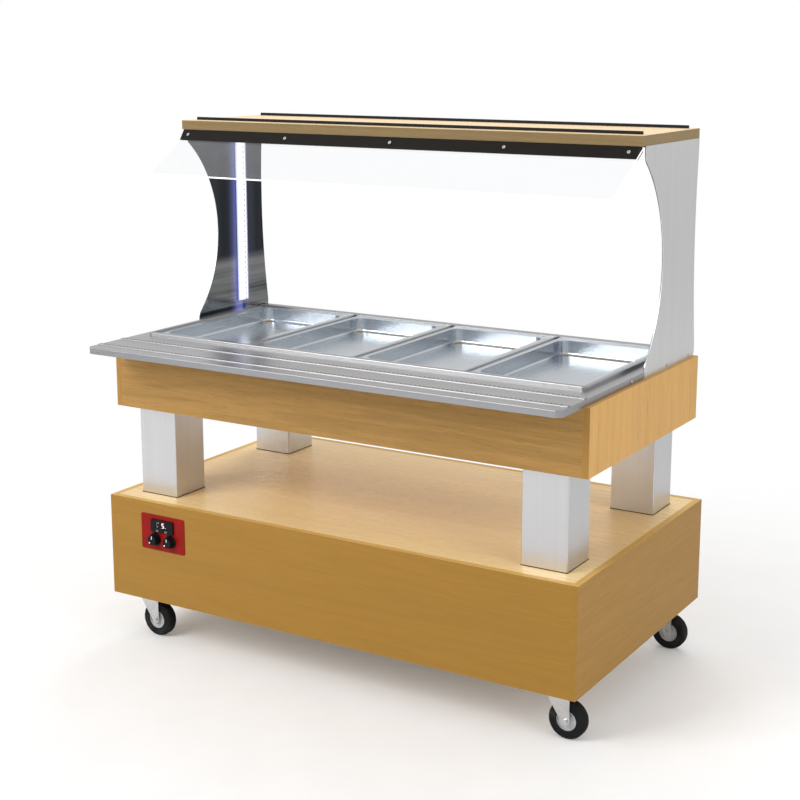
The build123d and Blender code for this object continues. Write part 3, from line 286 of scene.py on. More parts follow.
def brushed(name, colour, along, roughness=0.3, strength=0.06, cloud=0.03, flank_shade=None):
    """Stainless sheet brushed along one axis, with faint clouding; flanks may carry painted shade."""
    material, tree, shader = fresh_material(name, Metallic=1.0)
    fine = tuple(1.5 if axis == along else 1100 for axis in "XYZ")
    broad = tuple(0.8 if axis == along else 260 for axis in "XYZ")
    lines = noise(tree, object_coordinates(tree, fine), 1.0, 3, 0.6)
    streaks = noise(tree, object_coordinates(tree, broad), 1.0, 3, 0.5)
    clouds = noise(tree, object_coordinates(tree), 5.0, 3)
    tone = map_range(tree, streaks, 0.3, 0.7, 0.0, 1.0)
    finished = ramp(tree, tone, (0.0, shade(colour, 0.975)), (1.0, shade(colour, 1.02)))
    # painted shade: faces that look front, back or sideways are darkened by the given factor
    if flank_shade:
        side = arithmetic(tree, "MAXIMUM", facing(tree, "Y", 0.15, 0.6), facing(tree, "X", 0.3, 0.8))
        finished = mix_colour(tree, side, finished, mix_colour(tree, 1.0, finished, flank_shade, "MULTIPLY"))
    tree.links.new(finished, shader.inputs["Base Color"])
    spread = arithmetic(tree, "ADD", map_range(tree, lines, 0.3, 0.7, roughness - 0.04, roughness + 0.05),
                        map_range(tree, clouds, 0.35, 0.65, -cloud, cloud))
    tree.links.new(spread, shader.inputs["Roughness"])
    set_bump(tree, shader, lines, strength, 0.0002)
    return material


def side_panel_steel(name, sheet_face, strip_at, colour):
    """Smooth dark steel inside the serving space, with a painted reflection of the well low down and a
    painted glow round the light strip, and matt outside.
    """
    material, tree, shader = fresh_material(name, Metallic=1.0)
    coordinates = add_node(tree, "ShaderNodeTexCoord").outputs["Object"]
    parts = add_node(tree, "ShaderNodeSeparateXYZ", Vector=coordinates).outputs
    outside = arithmetic(tree, "GREATER_THAN", arithmetic(tree, "ABSOLUTE", parts["X"]), sheet_face)
    streaks = noise(tree, object_coordinates(tree, (30, 30, 0.5)), 1.0, 3)
    # painted reflection: lighter banded steel below the reflection level stands for the well mirrored in
    # the panel
    reflection_bands = noise(tree, object_coordinates(tree, (0.3, 0.8, 26)), 1.0, 4, 0.6)
    upper = ramp(tree, streaks, (0.3, (0.028, 0.032, 0.038)), (0.7, (0.055, 0.061, 0.070)))
    painted_well_reflection = ramp(tree, reflection_bands, (0.35, (0.10, 0.105, 0.11)), (0.6, (0.34, 0.345, 0.34)))
    inner = mix_colour(tree, map_range(tree, parts["Z"], WELL_REFLECTION_LEVEL, WELL_REFLECTION_LEVEL - 30 * MM, 0.0, 0.85),
                       upper, painted_well_reflection)
    outer = ramp(tree, streaks, (0.3, (0.75, 0.75, 0.75)), (0.7, (0.78, 0.78, 0.78)))
    tree.links.new(mix_colour(tree, outside, inner, outer), shader.inputs["Base Color"])
    fine = noise(tree, object_coordinates(tree, (700, 700, 2)), 1.0, 2)
    tree.links.new(arithmetic(tree, "ADD", map_range(tree, outside, 0, 1, 0.10, 0.42),
                              map_range(tree, fine, 0.3, 0.7, -0.03, 0.05)), shader.inputs["Roughness"])
    set_bump(tree, shader, fine, 0.05, 0.0003)
    # painted light: an emitted glow on the inner face round the light strip, weaker behind it
    away = arithmetic(tree, "ABSOLUTE", arithmetic(tree, "SUBTRACT", parts["Y"], strip_at))
    painted_strip_glow = map_range(tree, away, GLOW_NEAR, GLOW_FAR, 1.0, 0.0)
    painted_strip_glow = arithmetic(tree, "POWER", painted_strip_glow, 2.5)
    behind = map_range(tree, parts["Y"], strip_at, strip_at + MM, 1.0, 0.25)
    painted_strip_glow = arithmetic(tree, "MULTIPLY", painted_strip_glow, behind)
    painted_strip_glow = arithmetic(tree, "MULTIPLY", painted_strip_glow, map_range(tree, outside, 0, 1, 1.0, 0.0))
    tree.links.new(arithmetic(tree, "MULTIPLY", painted_strip_glow, 0.42), shader.inputs["Emission Strength"])
    shader.inputs["Emission Color"].default_value = (*colour, 1)
    return material


def plastic(name, colour, roughness=0.45, grain=900.0):
    """Moulded plastic with a fine grained surface."""
    material, tree, shader = fresh_material(name, Specular_IOR_Level=0.14)
    at = object_coordinates(tree)
    grains = noise(tree, at, grain, 2)
    clouds = noise(tree, at, 30.0, 3)
    tree.links.new(ramp(tree, clouds, (0.35, shade(colour, 0.85)), (0.65, shade(colour, 1.15))),
                   shader.inputs["Base Color"])
    tree.links.new(map_range(tree, clouds, 0.3, 0.7, roughness - 0.05, roughness + 0.06),
                   shader.inputs["Roughness"])
    set_bump(tree, shader, grains, 0.12, 0.0004)
    return material


def paint(name, colour, roughness=0.3, metallic=0.0):
    """Smooth enamel with faint orange peel."""
    material, tree, shader = fresh_material(name, Metallic=metallic, Specular_IOR_Level=0.14)
    at = object_coordinates(tree)
    peel = noise(tree, at, 350.0, 2)
    clouds = noise(tree, at, 18.0, 3)
    tree.links.new(ramp(tree, clouds, (0.3, shade(colour, 0.9)), (0.7, shade(colour, 1.1))),
                   shader.inputs["Base Color"])
    tree.links.new(map_range(tree, peel, 0.3, 0.7, roughness - 0.04, roughness + 0.05),
                   shader.inputs["Roughness"])
    set_bump(tree, shader, peel, 0.05, 0.0003)
    return material


def zinc(name, colour=(0.62, 0.62, 0.62), roughness=0.28):
    """Bright zinc plating with faint mottling and rubbed patches."""
    material, tree, shader = fresh_material(name, Metallic=1.0)
    at = object_coordinates(tree)
    cells = add_node(tree, "ShaderNodeTexVoronoi", Vector=at, Scale=160.0).outputs["Distance"]
    clouds = noise(tree, at, 45.0, 4)
    tone = mix_colour(tree, map_range(tree, cells, 0.0, 0.8, 0.0, 0.25), colour, shade(colour, 1.25))
    tree.links.new(mix_colour(tree, map_range(tree, clouds, 0.45, 0.75, 0.0, 0.5), tone,
                              shade(colour, 0.72)), shader.inputs["Base Color"])
    tree.links.new(map_range(tree, clouds, 0.3, 0.7, roughness - 0.08, roughness + 0.12),
                   shader.inputs["Roughness"])
    set_bump(tree, shader, clouds, 0.06, 0.0004)
    return material


def rubber(name):
    """Black rubber with dust in its grain."""
    material, tree, shader = fresh_material(name, Specular_IOR_Level=0.12)
    at = object_coordinates(tree)
    grain = noise(tree, at, 600.0, 3)
    dust = noise(tree, at, 22.0, 4)
    tree.links.new(mix_colour(tree, map_range(tree, dust, 0.52, 0.75, 0.0, 0.35),
                              (0.011, 0.011, 0.012), (0.09, 0.085, 0.08)), shader.inputs["Base Color"])
    tree.links.new(map_range(tree, dust, 0.3, 0.7, 0.56, 0.74),
                   shader.inputs["Roughness"])
    set_bump(tree, shader, grain, 0.2, 0.0004)
    return material


def clear_sheet(name):
    """Clear guard sheet with faint smears and a faint painted haze of reflected room light."""
    material, tree, shader = fresh_material(name, Transmission_Weight=1.0, IOR=1.30)
    shader.inputs["Base Color"].default_value = (0.985, 0.990, 0.995, 1)
    smears_and_haze = noise(tree, object_coordinates(tree, (3, 3, 3)), 2.0, 4)
    tree.links.new(map_range(tree, smears_and_haze, 0.4, 0.7, 0.0, 0.035), shader.inputs["Roughness"])
    # painted reflection: a faint emitted haze mixed into the glass, stronger where the smears are
    painted_haze = add_node(tree, "ShaderNodeEmission", Color=(0.86, 0.88, 0.95, 1), Strength=0.9)
    mixed = add_node(tree, "ShaderNodeMixShader", i0=map_range(tree, smears_and_haze, 0.3, 0.7, 0.02, 0.05),
                     i1=shader.outputs[0], i2=painted_haze.outputs[0])
    tree.links.new(mixed.outputs[0], tree.nodes["Material Output"].inputs["Surface"])
    return material


def sheet_edge(name):
    """The ground edge of the guard sheet: frosted white, with a painted glow where light gathers."""
    # painted light: the edge glows by emission
    material, tree, shader = fresh_material(name, Roughness=0.4, Emission_Strength=0.62)
    frost = noise(tree, object_coordinates(tree), 240.0, 3)
    white = ramp(tree, frost, (0.3, (0.86, 0.88, 0.90)), (0.7, (0.98, 0.99, 1.0)))
    tree.links.new(white, shader.inputs["Base Color"])
    tree.links.new(white, shader.inputs["Emission Color"])
    return material


def lit_strip(name, colour, strength, pitch, strip_at, half_width):
    """A diffuser over two rows of diodes: one nearly even, the other with dark gaps between them."""
    material, tree, shader = fresh_material(name, Roughness=0.35, Emission_Strength=strength)
    coordinates = add_node(tree, "ShaderNodeTexCoord").outputs["Object"]
    parts = add_node(tree, "ShaderNodeSeparateXYZ", Vector=coordinates).outputs
    across = map_range(tree, parts["Y"], strip_at - half_width, strip_at + half_width, -1.0, 1.0)
    waves = arithmetic(tree, "SINE", arithmetic(tree, "MULTIPLY", parts["Z"], 2 * pi / pitch))
    speckle = noise(tree, object_coordinates(tree), 300.0, 2)
    gaps = map_range(tree, waves, 0.1, 0.6, 0.0, 1.0)
    column = arithmetic(tree, "ABSOLUTE", arithmetic(tree, "SUBTRACT", across, 0.46))
    gaps = arithmetic(tree, "MULTIPLY", gaps, map_range(tree, column, 0.10, 0.22, 0.92, 0.0))
    rear = arithmetic(tree, "GREATER_THAN", across, 0.78)
    fringe = map_range(tree, across, -1.0, -0.45, 1.0, 0.0)
    soft = map_range(tree, arithmetic(tree, "ADD", waves, speckle), -0.6, 1.4, 0.0, 1.0)
    lit = ramp(tree, soft, (0.0, shade(colour, 0.86)), (1.0, (1.0, 1.0, 1.0)))
    lit = mix_colour(tree, fringe, lit, (0.42, 0.46, 0.95))
    lit = mix_colour(tree, arithmetic(tree, "MAXIMUM", gaps, arithmetic(tree, "MULTIPLY", rear, 0.85)),
                     lit, (0.05, 0.055, 0.08))
    tree.links.new(lit, shader.inputs["Emission Color"])
    shader.inputs["Base Color"].default_value = (0.5, 0.53, 0.6, 1)
    return material


def glowing(name, colour, strength):
    """A small lit sign such as a display digit."""
    material, tree, shader = fresh_material(name, Roughness=0.4, Emission_Strength=strength)
    grain = noise(tree, object_coordinates(tree), 800.0, 2)
    tree.links.new(ramp(tree, grain, (0.3, shade(colour, 0.85)), (0.7, colour)),
                   shader.inputs["Emission Color"])
    shader.inputs["Base Color"].default_value = (*colour, 1)
    return material


# ---------------------------------------------------------------- modelling helpers
def deselect_all():
    """Leaves edit mode and deselects every object."""
    if bpy.context.object and bpy.context.object.mode != "OBJECT":
        bpy.ops.object.mode_set(mode="OBJECT")
    bpy.ops.object.select_all(action="DESELECT")


def select_faces(piece, wanted):
    """In edit mode, selects the faces of which wanted(centre, normal) is true."""
    bpy.ops.object.mode_set(mode="OBJECT")
    for part in (piece.data.vertices, piece.data.edges, piece.data.polygons):
        part.foreach_set("select", [False] * len(part))
    for face in piece.data.polygons:
        face.select = bool(wanted(face.center, face.normal))
    bpy.ops.object.mode_set(mode="EDIT")
    bpy.ops.mesh.select_mode(type="FACE")


def select_edges(piece, wanted):
    """In edit mode, selects the edges of which wanted(end, other end) is true."""
    bpy.ops.object.mode_set(mode="OBJECT")
    for part in (piece.data.vertices, piece.data.edges, piece.data.polygons):
        part.foreach_set("select", [False] * len(part))
    for edge in piece.data.edges:
        ends = [piece.data.vertices[index].co for index in edge.vertices]
        edge.select = bool(wanted(*ends))
    bpy.ops.object.mode_set(mode="EDIT")
    bpy.ops.mesh.select_mode(type="EDGE")


def settle(piece, name, material, body="root", smooth=35):
    """Names a finished piece, bakes its place into its mesh, gives it a finish and a body."""
    deselect_all()
    piece.select_set(True)
    bpy.context.view_layer.objects.active = piece
    bpy.ops.object.transform_apply(location=True, rotation=True, scale=True)
    if smooth:
        bpy.ops.object.shade_smooth_by_angle(angle=radians(smooth))
    piece.name = name
    piece.data.name = name
    if material:
        piece.data.materials.clear()
        piece.data.materials.append(material)
    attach(piece, body)
    return piece


def block(low, high, bevel=0.0):
    """A bevelled block between two corners."""
    deselect_all()
    low, high = Vector(low), Vector(high)
    bpy.ops.mesh.primitive_cube_add(size=1, location=(low + high) / 2)
    piece = bpy.context.object
    piece.scale = high - low
    bpy.ops.object.transform_apply(location=True, rotation=True, scale=True)
    if bevel:
        bpy.ops.object.mode_set(mode="EDIT")
        bpy.ops.mesh.select_all(action="SELECT")
        bpy.ops.mesh.bevel(offset=bevel, segments=2, affect="EDGES")
        bpy.ops.object.mode_set(mode="OBJECT")
    return piece


TURN_TO = {"X": (0, pi / 2, 0), "Y": (pi / 2, 0, 0), "Z": (0, 0, 0)}


def drum(centre, axis, radius, length, sides=48):
    """A round blank along an axis, with its place in its mesh."""
    deselect_all()
    bpy.ops.mesh.primitive_cylinder_add(vertices=sides, radius=radius, depth=length, location=centre,
                                        rotation=TURN_TO[axis])
    bpy.ops.object.transform_apply(location=True, rotation=True, scale=True)
    return bpy.context.object


def terrace(piece, normal, steps):
    """Steps the flat end that faces along normal: each step insets it and then raises it."""
    normal = Vector(normal)
    deselect_all()
    piece.select_set(True)
    bpy.context.view_layer.objects.active = piece
    reach = max(vertex.co.dot(normal) for vertex in piece.data.vertices)
    select_faces(piece, lambda centre, facing: facing.dot(normal) > 0.99
                 and centre.dot(normal) > reach - 0.01 * MM)
    for inset, rise in steps:
        bpy.ops.mesh.inset(thickness=inset, use_even_offset=True)
        if rise:
            bpy.ops.mesh.extrude_region_move(TRANSFORM_OT_translate={"value": normal * rise})
    bpy.ops.object.mode_set(mode="OBJECT")


def copy_piece(piece):
    """A copy with its own mesh."""
    twin = piece.copy()
    twin.data = piece.data.copy()
    bpy.context.scene.collection.objects.link(twin)
    return twin


def join_pieces(pieces):
    """Joins several blanks into the first one."""
    deselect_all()
    for piece in pieces:
        piece.select_set(True)
    bpy.context.view_layer.objects.active = pieces[0]
    bpy.ops.object.join()
    return pieces[0]


def finish_node(node, material):
    """Gives a CAD node its material in every slot."""
    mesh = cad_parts[node].data
    if not mesh.materials:
        mesh.materials.append(material)
    for index in range(len(mesh.materials)):
        mesh.materials[index] = material


def middle(node):
    """The middle of a CAD node's box."""
    low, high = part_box(node)
    return (low + high) / 2


# ---------------------------------------------------------------- timber
class TROLLEY_OT_timber(bpy.types.Operator):
    """Oak and plywood finishes for the boards"""
    bl_idname = "trolley.timber"
    bl_label = "Timber"

    def execute(self, context):
        look = context.scene.trolley_finishes
        # painted light: the apron's side boards take a lighter copy of the apron oak, as lit from the side;
        # their faces that look front and back are brought back down towards the front's tone
        lit_side_oak = shade(look.apron_oak, 1.45)
        # painted light: the top faces of the base boards are made lighter, as lit from above
        lit_top = (2.0, 2.3, 3.0)
        finish_node("apron_front", oak("apron_front_oak", look.apron_oak, "X", 0.55, 0.45))
        finish_node("apron_back", oak("apron_back_oak", look.apron_oak, "X", 0.55, 0.45, seed=3.1))
        finish_node("apron_sides", oak("apron_side_oak", lit_side_oak, "Z", 0.32, 0.45, seed=1.7,
                                       front=(0.66, 0.62, 0.55)))
        finish_node("base_front", oak("base_front_oak", look.base_oak, "X", 0.24, 0.42, seed=4.4,
                                      top=lit_top))
        finish_node("base_back", oak("base_back_oak", look.base_oak, "X", 0.24, 0.42, seed=5.2,
                                     top=lit_top))
        finish_node("base_sides", oak("base_side_oak", look.base_oak, "Y", 0.24, 0.42, seed=6.3,
                                      top=lit_top))
        finish_node("plate_shelf", oak("plate_shelf_oak", look.shelf_oak, "X", 0.20, 0.26, 0.45, seed=7.0))
        # painted light and shade: the overshelf takes a darkened copy of the shelf oak as shade on its
        # edges, and its top is multiplied back up as lit
        finish_node("overshelf", oak("overshelf_oak", shade(look.shelf_oak, 0.27), "X", 0.30, 0.34,
                                     0.15, seed=8.1, top=(3.9, 4.2, 5.2)))
        bare = plywood("bare_plywood")
        for node in ("base_floor", "apron_floor", "counter_frame"):
            finish_node(node, bare)
        return {"FINISHED"}


# ---------------------------------------------------------------- steel
class TROLLEY_OT_steelwork(bpy.types.Operator):
    """Brushed and pressed steel: posts, countertop, well, bars and pans"""
    bl_idname = "trolley.steelwork"
    bl_label = "Steelwork"

    def execute(self, context):
        steel = context.scene.trolley_finishes.steel
        # painted light and shade: one stainless steel, made lighter for the posts and darker for the
        # countertop, the well and the bars, to match how light falls on each
        finish_node("posts", brushed("post_steel", shade(steel, 1.14), "Z", 0.36, 0.03, 0.02))
        # painted shade on the rib sides, the front bullnose and the ends of the countertop
        finish_node("countertop", brushed("countertop_steel", shade(steel, 0.84), "X", 0.33, 0.05,
                                          flank_shade=(0.80, 0.80, 0.82)))
        finish_node("well_basin", brushed("well_steel", shade(steel, 0.72), "X", 0.30, 0.05))
        finish_node("cross_bars", brushed("bar_steel", shade(steel, 0.9), "Y", 0.28, 0.05))
        pan = brushed("pan_steel", (0.60, 0.64, 0.68), "Y", 0.24, 0.04)
        for node in ("pan_1", "pan_2", "pan_3", "pan_4"):
            finish_node(node, pan)
        strip_at = middle("light_lenses").y
        finish_node("side_panels", side_panel_steel("side_panel_steel",
                                                    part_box("side_panels")[1].x - 1.5 * MM, strip_at,
                                                    (0.30, 0.34, 1.0)))
        finish_node("gallery_rails", plastic("rail_black", (0.012, 0.012, 0.012), 0.4))
        finish_node("guard_profile", paint("profile_dark", (0.009, 0.007, 0.005), 0.35))
        finish_node("light_housings", brushed("housing_aluminium", (0.6, 0.6, 0.62), "Z", 0.3))
        return {"FINISHED"}


# ---------------------------------------------------------------- dimpled ribs
class TROLLEY_OT_dimples(bpy.types.Operator):
    """Rows of pressed dimples along the tray slide's ribs, painted dark as the shade in them"""
    bl_idname = "trolley.dimples"
    bl_label = "Rib dimples"

    def execute(self, context):
        pitch = context.scene.trolley_details.dimple_pitch
        low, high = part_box("countertop")
        # painted shade: the dimples are dark pieces standing for the shade in the pressed hollows
        material = paint("dimple_shade", (0.10, 0.10, 0.11), 0.35, 0.9)
        first = block((-DIMPLE_LENGTH / 2, -DIMPLE_WIDTH / 2, -DIMPLE_SINK),
                      (DIMPLE_LENGTH / 2, DIMPLE_WIDTH / 2, DIMPLE_RISE))
        select_edges(first, lambda a, b: abs(a.z - b.z) > DIMPLE_SINK / 2)
        bpy.ops.mesh.bevel(offset=DIMPLE_WIDTH * 0.45, segments=3, affect="EDGES")
        bpy.ops.object.mode_set(mode="OBJECT")
        count = int((high.x - low.x - 2 * RIB_END) / pitch)
        for rib, back in enumerate(RIB_SETBACKS):
            row = []
            for number in range(count + 1):
                dimple = copy_piece(first)
                dimple.location = ((number - count / 2) * pitch, low.y + back, high.z)
                row.append(dimple)
            settle(join_pieces(row), f"rib_dimples_{rib + 1}", material)
        bpy.data.objects.remove(first)
        return {"FINISHED"}


# ---------------------------------------------------------------- light strips
class TROLLEY_OT_light_strips(bpy.types.Operator):
    """Lit diffusers on the inner faces of the side panels"""
    bl_idname = "trolley.light_strips"
    bl_label = "Light strips"

    def execute(self, context):
        look = context.scene.trolley_finishes
        details = context.scene.trolley_details
        low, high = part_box("light_lenses")
        finish_node("light_lenses", lit_strip("strip_glow", look.light, details.light_strength,
                                              details.diode_pitch, (low.y + high.y) / 2,
                                              (high.y - low.y) / 2))
        return {"FINISHED"}


# ---------------------------------------------------------------- sneeze guard
class TROLLEY_OT_guard(bpy.types.Operator):
    """The clear sneeze guard with its bright ground edges"""
    bl_idname = "trolley.guard"
    bl_label = "Sneeze guard"

    def execute(self, context):
        low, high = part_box("sneeze_guard")
        reach = (high.y - low.y - GUARD_THICKNESS * sin(GUARD_ANGLE)) / cos(GUARD_ANGLE)
        half = (high.x - low.x) / 2
        sheet = block((-half, 0, -GUARD_THICKNESS), (half, reach, 0))
        select_edges(sheet, lambda a, b: a.y < MM and b.y < MM and abs(a.z - b.z) > MM)
        bpy.ops.mesh.bevel(offset=GUARD_CORNER, segments=10, affect="EDGES")
        select_edges(sheet, lambda a, b: abs(a.z - b.z) < 0.1 * MM)
        bpy.ops.mesh.bevel(offset=0.5 * MM, segments=2, affect="EDGES")
        bpy.ops.object.mode_set(mode="OBJECT")
        sheet.data.materials.append(clear_sheet("guard_clear"))
        sheet.data.materials.append(sheet_edge("guard_edge"))
        for face in sheet.data.polygons:
            face.material_index = 0 if abs(face.normal.z) > 0.98 else 1
        sheet.rotation_euler.x = GUARD_ANGLE
        sheet.location = ((low.x + high.x) / 2, low.y, low.z + GUARD_THICKNESS * cos(GUARD_ANGLE))
        settle(sheet, "guard_sheet", None, smooth=0)
        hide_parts("sneeze_guard")
        return {"FINISHED"}


# ---------------------------------------------------------------- control panel
class TROLLEY_OT_control_panel(bpy.types.Operator):
    """Red plate, thermostat with its digit, keys and knobs with their pointers"""
    bl_idname = "trolley.control_panel"
    bl_label = "Control panel"

    def execute(self, context):
        look = context.scene.trolley_finishes
        black = plastic("control_black", (0.006, 0.006, 0.007), 0.35)
        finish_node("control_plate", paint("plate_red", look.panel_red, 0.3))
        finish_node("thermostat_case", black)
        finish_node("switch_bodies", black)
        finish_node("display_window", paint("window_black", (0.006, 0.006, 0.008), 0.12))
        keys = plastic("key_grey", (0.20, 0.20, 0.21), 0.4)
        for node in ("key_down", "key_up"):
            finish_node(node, keys)
        # painted light: the white pointers and dots, which are no lamps, glow faintly by emission
        white = glowing("mark_white_glow", (0.90, 0.90, 0.92), 0.25)
        for node in ("knob_power", "knob_light"):
            finish_node(node, black)
            self.model_pointer(node, white)
        self.model_digit()
        self.model_marks()
        return {"FINISHED"}

    def model_digit(self):
        """A lit seven-segment digit in front of the display window."""
        low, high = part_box("display_window")
        at = (low + high) / 2
        centre, face, level = at.x + 5 * MM, low.y, at.z
        half, step, line = DIGIT_WIDTH / 2, DIGIT_HEIGHT / 2, DIGIT_LINE / 2
        bars = [((-half, rise - line), (half, rise + line)) for rise in (-step, 0, step)]
        bars += [((-half - line, line), (-half + line, step)), ((half - line, -step), (half + line, -line))]
        pieces = [block((centre + left, face - 0.5 * MM, level + bottom),
                        (centre + right, face + 0.2 * MM, level + top), 0.25 * MM)
                  for (left, bottom), (right, top) in bars]
        settle(join_pieces(pieces), "display_digit", glowing("digit_glow", (1.0, 0.62, 0.66), 1.3))

    def model_marks(self):
        """Small lit marks at the left of the display window."""
        low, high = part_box("display_window")
        at = (low + high) / 2
        pieces = []
        for across, rise, length in MARKS:
            pieces.append(block((at.x + (across - length / 2) * MM, low.y - 0.4 * MM,
                                 at.z + (rise - MARK_HALF) * MM),
                                (at.x + (across + length / 2) * MM, low.y + 0.2 * MM,
                                 at.z + (rise + MARK_HALF) * MM), 0.2 * MM))
        settle(join_pieces(pieces), "display_marks", glowing("marks_glow", (0.82, 0.84, 0.88), 0.5))

    def model_pointer(self, node, material):
        """A white pointer and dot let into the front of a knob."""
        low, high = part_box(node)
        x, z = (low.x + high.x) / 2, (low.z + high.z) / 2
        pointer = block((x - POINTER_WIDTH / 2, low.y - 0.35 * MM, z + POINTER_START),
                        (x + POINTER_WIDTH / 2, low.y + 0.3 * MM, z + POINTER_END), 0.3 * MM)
        dot = drum((x - DOT_REACH, low.y, z - DOT_REACH), "Y", DOT_RADIUS, 0.7 * MM, 24)
        terrace(dot, (0, -1, 0), ((0.4 * MM, 0.15 * MM),))
        settle(join_pieces([pointer, dot]), f"{node}_pointer", material, node)


# ---------------------------------------------------------------- castors
class TROLLEY_OT_castors(bpy.types.Operator):
    """Plated forks and plates, grooved tyres and ringed hubs"""
    bl_idname = "trolley.castors"
    bl_label = "Castors"

    def execute(self, context):
        plated = zinc("castor_zinc")
        for node in ("castor_plates", "castor_screws"):
            finish_node(node, plated)
        tread = rubber("tyre_rubber")
        moulded = plastic("hub_grey", (0.50, 0.51, 0.52), 0.4, 500.0)
        for corner in CORNERS:
            finish_node(f"fork_{corner}", plated)
            body = f"wheel_{corner}"
            tyre = self.model_tyre(body, context.scene.trolley_details.tyre_groove)
            settle(tyre, f"tyre_{corner}", tread, body)
            hub = settle(self.model_hub(body), f"hub_{corner}", moulded, body)
            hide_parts(body)
            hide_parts(body)
        black = plastic("pedal_black", (0.02, 0.02, 0.02), 0.5)
        for corner in ("front_left", "back_left"):
            finish_node(f"brake_pedal_{corner}", black)
        return {"FINISHED"}

    def model_tyre(self, node, groove):
        """A tyre with round shoulders, recessed side walls and two grooves round its tread."""
        low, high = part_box(node)
        centre = (low + high) / 2
        radius = (high.z - low.z) / 2
        width = TYRE_WIDTH
        tyre = drum((0, 0, 0), "Y", radius, width, 72)
        for side in (-1, 1):
            terrace(tyre, (0, side, 0), ((SHOULDER + MM, 0), (WALL_STEP, -0.7 * MM),
                                         (radius - HUB_RADIUS - SHOULDER - 3.6 * MM, 0),
                                         (WALL_STEP, 0.7 * MM), (1.4 * MM, 0)))
        select_faces(tyre, lambda at, facing: abs(facing.y) > 0.99
                     and Vector((at.x, 0, at.z)).length < MM)
        bpy.ops.mesh.bridge_edge_loops()
        select_edges(tyre, lambda a, b: abs(abs(a.y) - width / 2) < 0.01 * MM
                     and abs(a.y - b.y) < 0.01 * MM
                     and min(Vector((a.x, a.z)).length, Vector((b.x, b.z)).length) > radius - 0.1 * MM)
        bpy.ops.mesh.bevel(offset=SHOULDER, segments=6, affect="EDGES")
        for place in (-GROOVE_OUTER, -GROOVE_INNER, GROOVE_INNER, GROOVE_OUTER):
            bpy.ops.mesh.select_all(action="SELECT")
            bpy.ops.mesh.bisect(plane_co=(0, place, 0), plane_no=(0, 1, 0))
        select_faces(tyre, lambda at, facing: GROOVE_INNER < abs(at.y) < GROOVE_OUTER
                     and Vector((at.x, at.z)).length > radius - MM)
        bpy.ops.mesh.extrude_region_shrink_fatten(TRANSFORM_OT_shrink_fatten={"value": -groove})
        bpy.ops.object.mode_set(mode="OBJECT")
        tyre.location = centre
        return tyre

    def model_hub(self, node):
        """A moulded hub with a rim, a dished web, concentric rings and a bored boss."""
        centre = middle(node)
        hub = drum((0, 0, 0), "Y", HUB_RADIUS, TYRE_WIDTH - 4 * MM, 48)
        for side in (-1, 1):
            terrace(hub, (0, side, 0), ((2.2 * MM, -3.0 * MM), (4.5 * MM, 0), (0.8 * MM, 1.0 * MM),
                                        (1.6 * MM, 0), (0.8 * MM, -1.0 * MM), (3.4 * MM, 0),
                                        (1.0 * MM, 1.6 * MM), (2.2 * MM, 0), (0.8 * MM, 3.1 * MM),
                                        (HUB_RADIUS - 17.3 * MM - AXLE_RADIUS, 0)))
        select_faces(hub, lambda at, facing: abs(facing.y) > 0.99
                     and Vector((at.x, 0, at.z)).length < MM)
        bpy.ops.mesh.bridge_edge_loops()
        bpy.ops.object.mode_set(mode="OBJECT")
        hub.location = centre
        return hub


# ---------------------------------------------------------------- fittings
class TROLLEY_OT_fittings(bpy.types.Operator):
    """Screws, bolts, pads, drain, inlet and the cooling unit"""
    bl_idname = "trolley.fittings"
    bl_label = "Fittings"

    def execute(self, context):
        plated = zinc("screw_zinc", (0.66, 0.66, 0.66), 0.22)
        for node in ("panel_screws", "post_bolts", "unit_tray", "drain_lever"):
            finish_node(node, plated)
        self.model_recesses()
        finish_node("rubber_pads", rubber("pad_rubber"))
        finish_node("well_insulation", plastic("foam", (0.62, 0.50, 0.26), 0.8, 300.0))
        copper = brushed("copper_tube", (0.72, 0.34, 0.20), "X", 0.3)
        for node in ("refrigerant_lines", "evaporator_coil"):
            finish_node(node, copper)
        enamel = paint("unit_enamel", (0.012, 0.012, 0.014), 0.3)
        for node in ("compressor", "fan_motor"):
            finish_node(node, enamel)
        finish_node("condenser", brushed("fin_aluminium", (0.60, 0.60, 0.62), "Z", 0.35))
        grey = plastic("moulded_grey", (0.22, 0.22, 0.23), 0.5)
        for node in ("fan_blades", "drain_pipe"):
            finish_node(node, grey)
        black = plastic("fitting_black", (0.015, 0.015, 0.015), 0.45)
        for node in ("mains_inlet", "light_supply"):
            finish_node(node, black)
        return {"FINISHED"}

    def model_recesses(self):
        """Cross recesses in the heads of the guard profile's screws, painted dark as the shade in them."""
        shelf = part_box("overshelf")[0]
        tilt = atan2(PROFILE_DROP, PROFILE_STEP)
        outward = Vector((0, -sin(tilt), cos(tilt)))
        seat = Vector((0, shelf.y - PROFILE_STEP / 2, shelf.z - PROFILE_DROP / 2)) + outward * SCREW_RISE
        crosses = []
        for number in range(-2, 3):
            bars = [block((-long, -wide, -0.3 * MM), (long, wide, 0.12 * MM), 0.1 * MM)
                    for long, wide in ((RECESS_REACH, RECESS_WIDTH), (RECESS_WIDTH, RECESS_REACH))]
            cross = join_pieces(bars)
            cross.rotation_euler.x = tilt
            cross.location = seat + Vector((number * GUARD_SCREW_PITCH, 0, 0))
            crosses.append(cross)
        # painted shade: dark crosses stand for the shade inside the recesses
        settle(join_pieces(crosses), "screw_recesses", paint("recess_shade", (0.03, 0.03, 0.03), 0.5, 0.5))


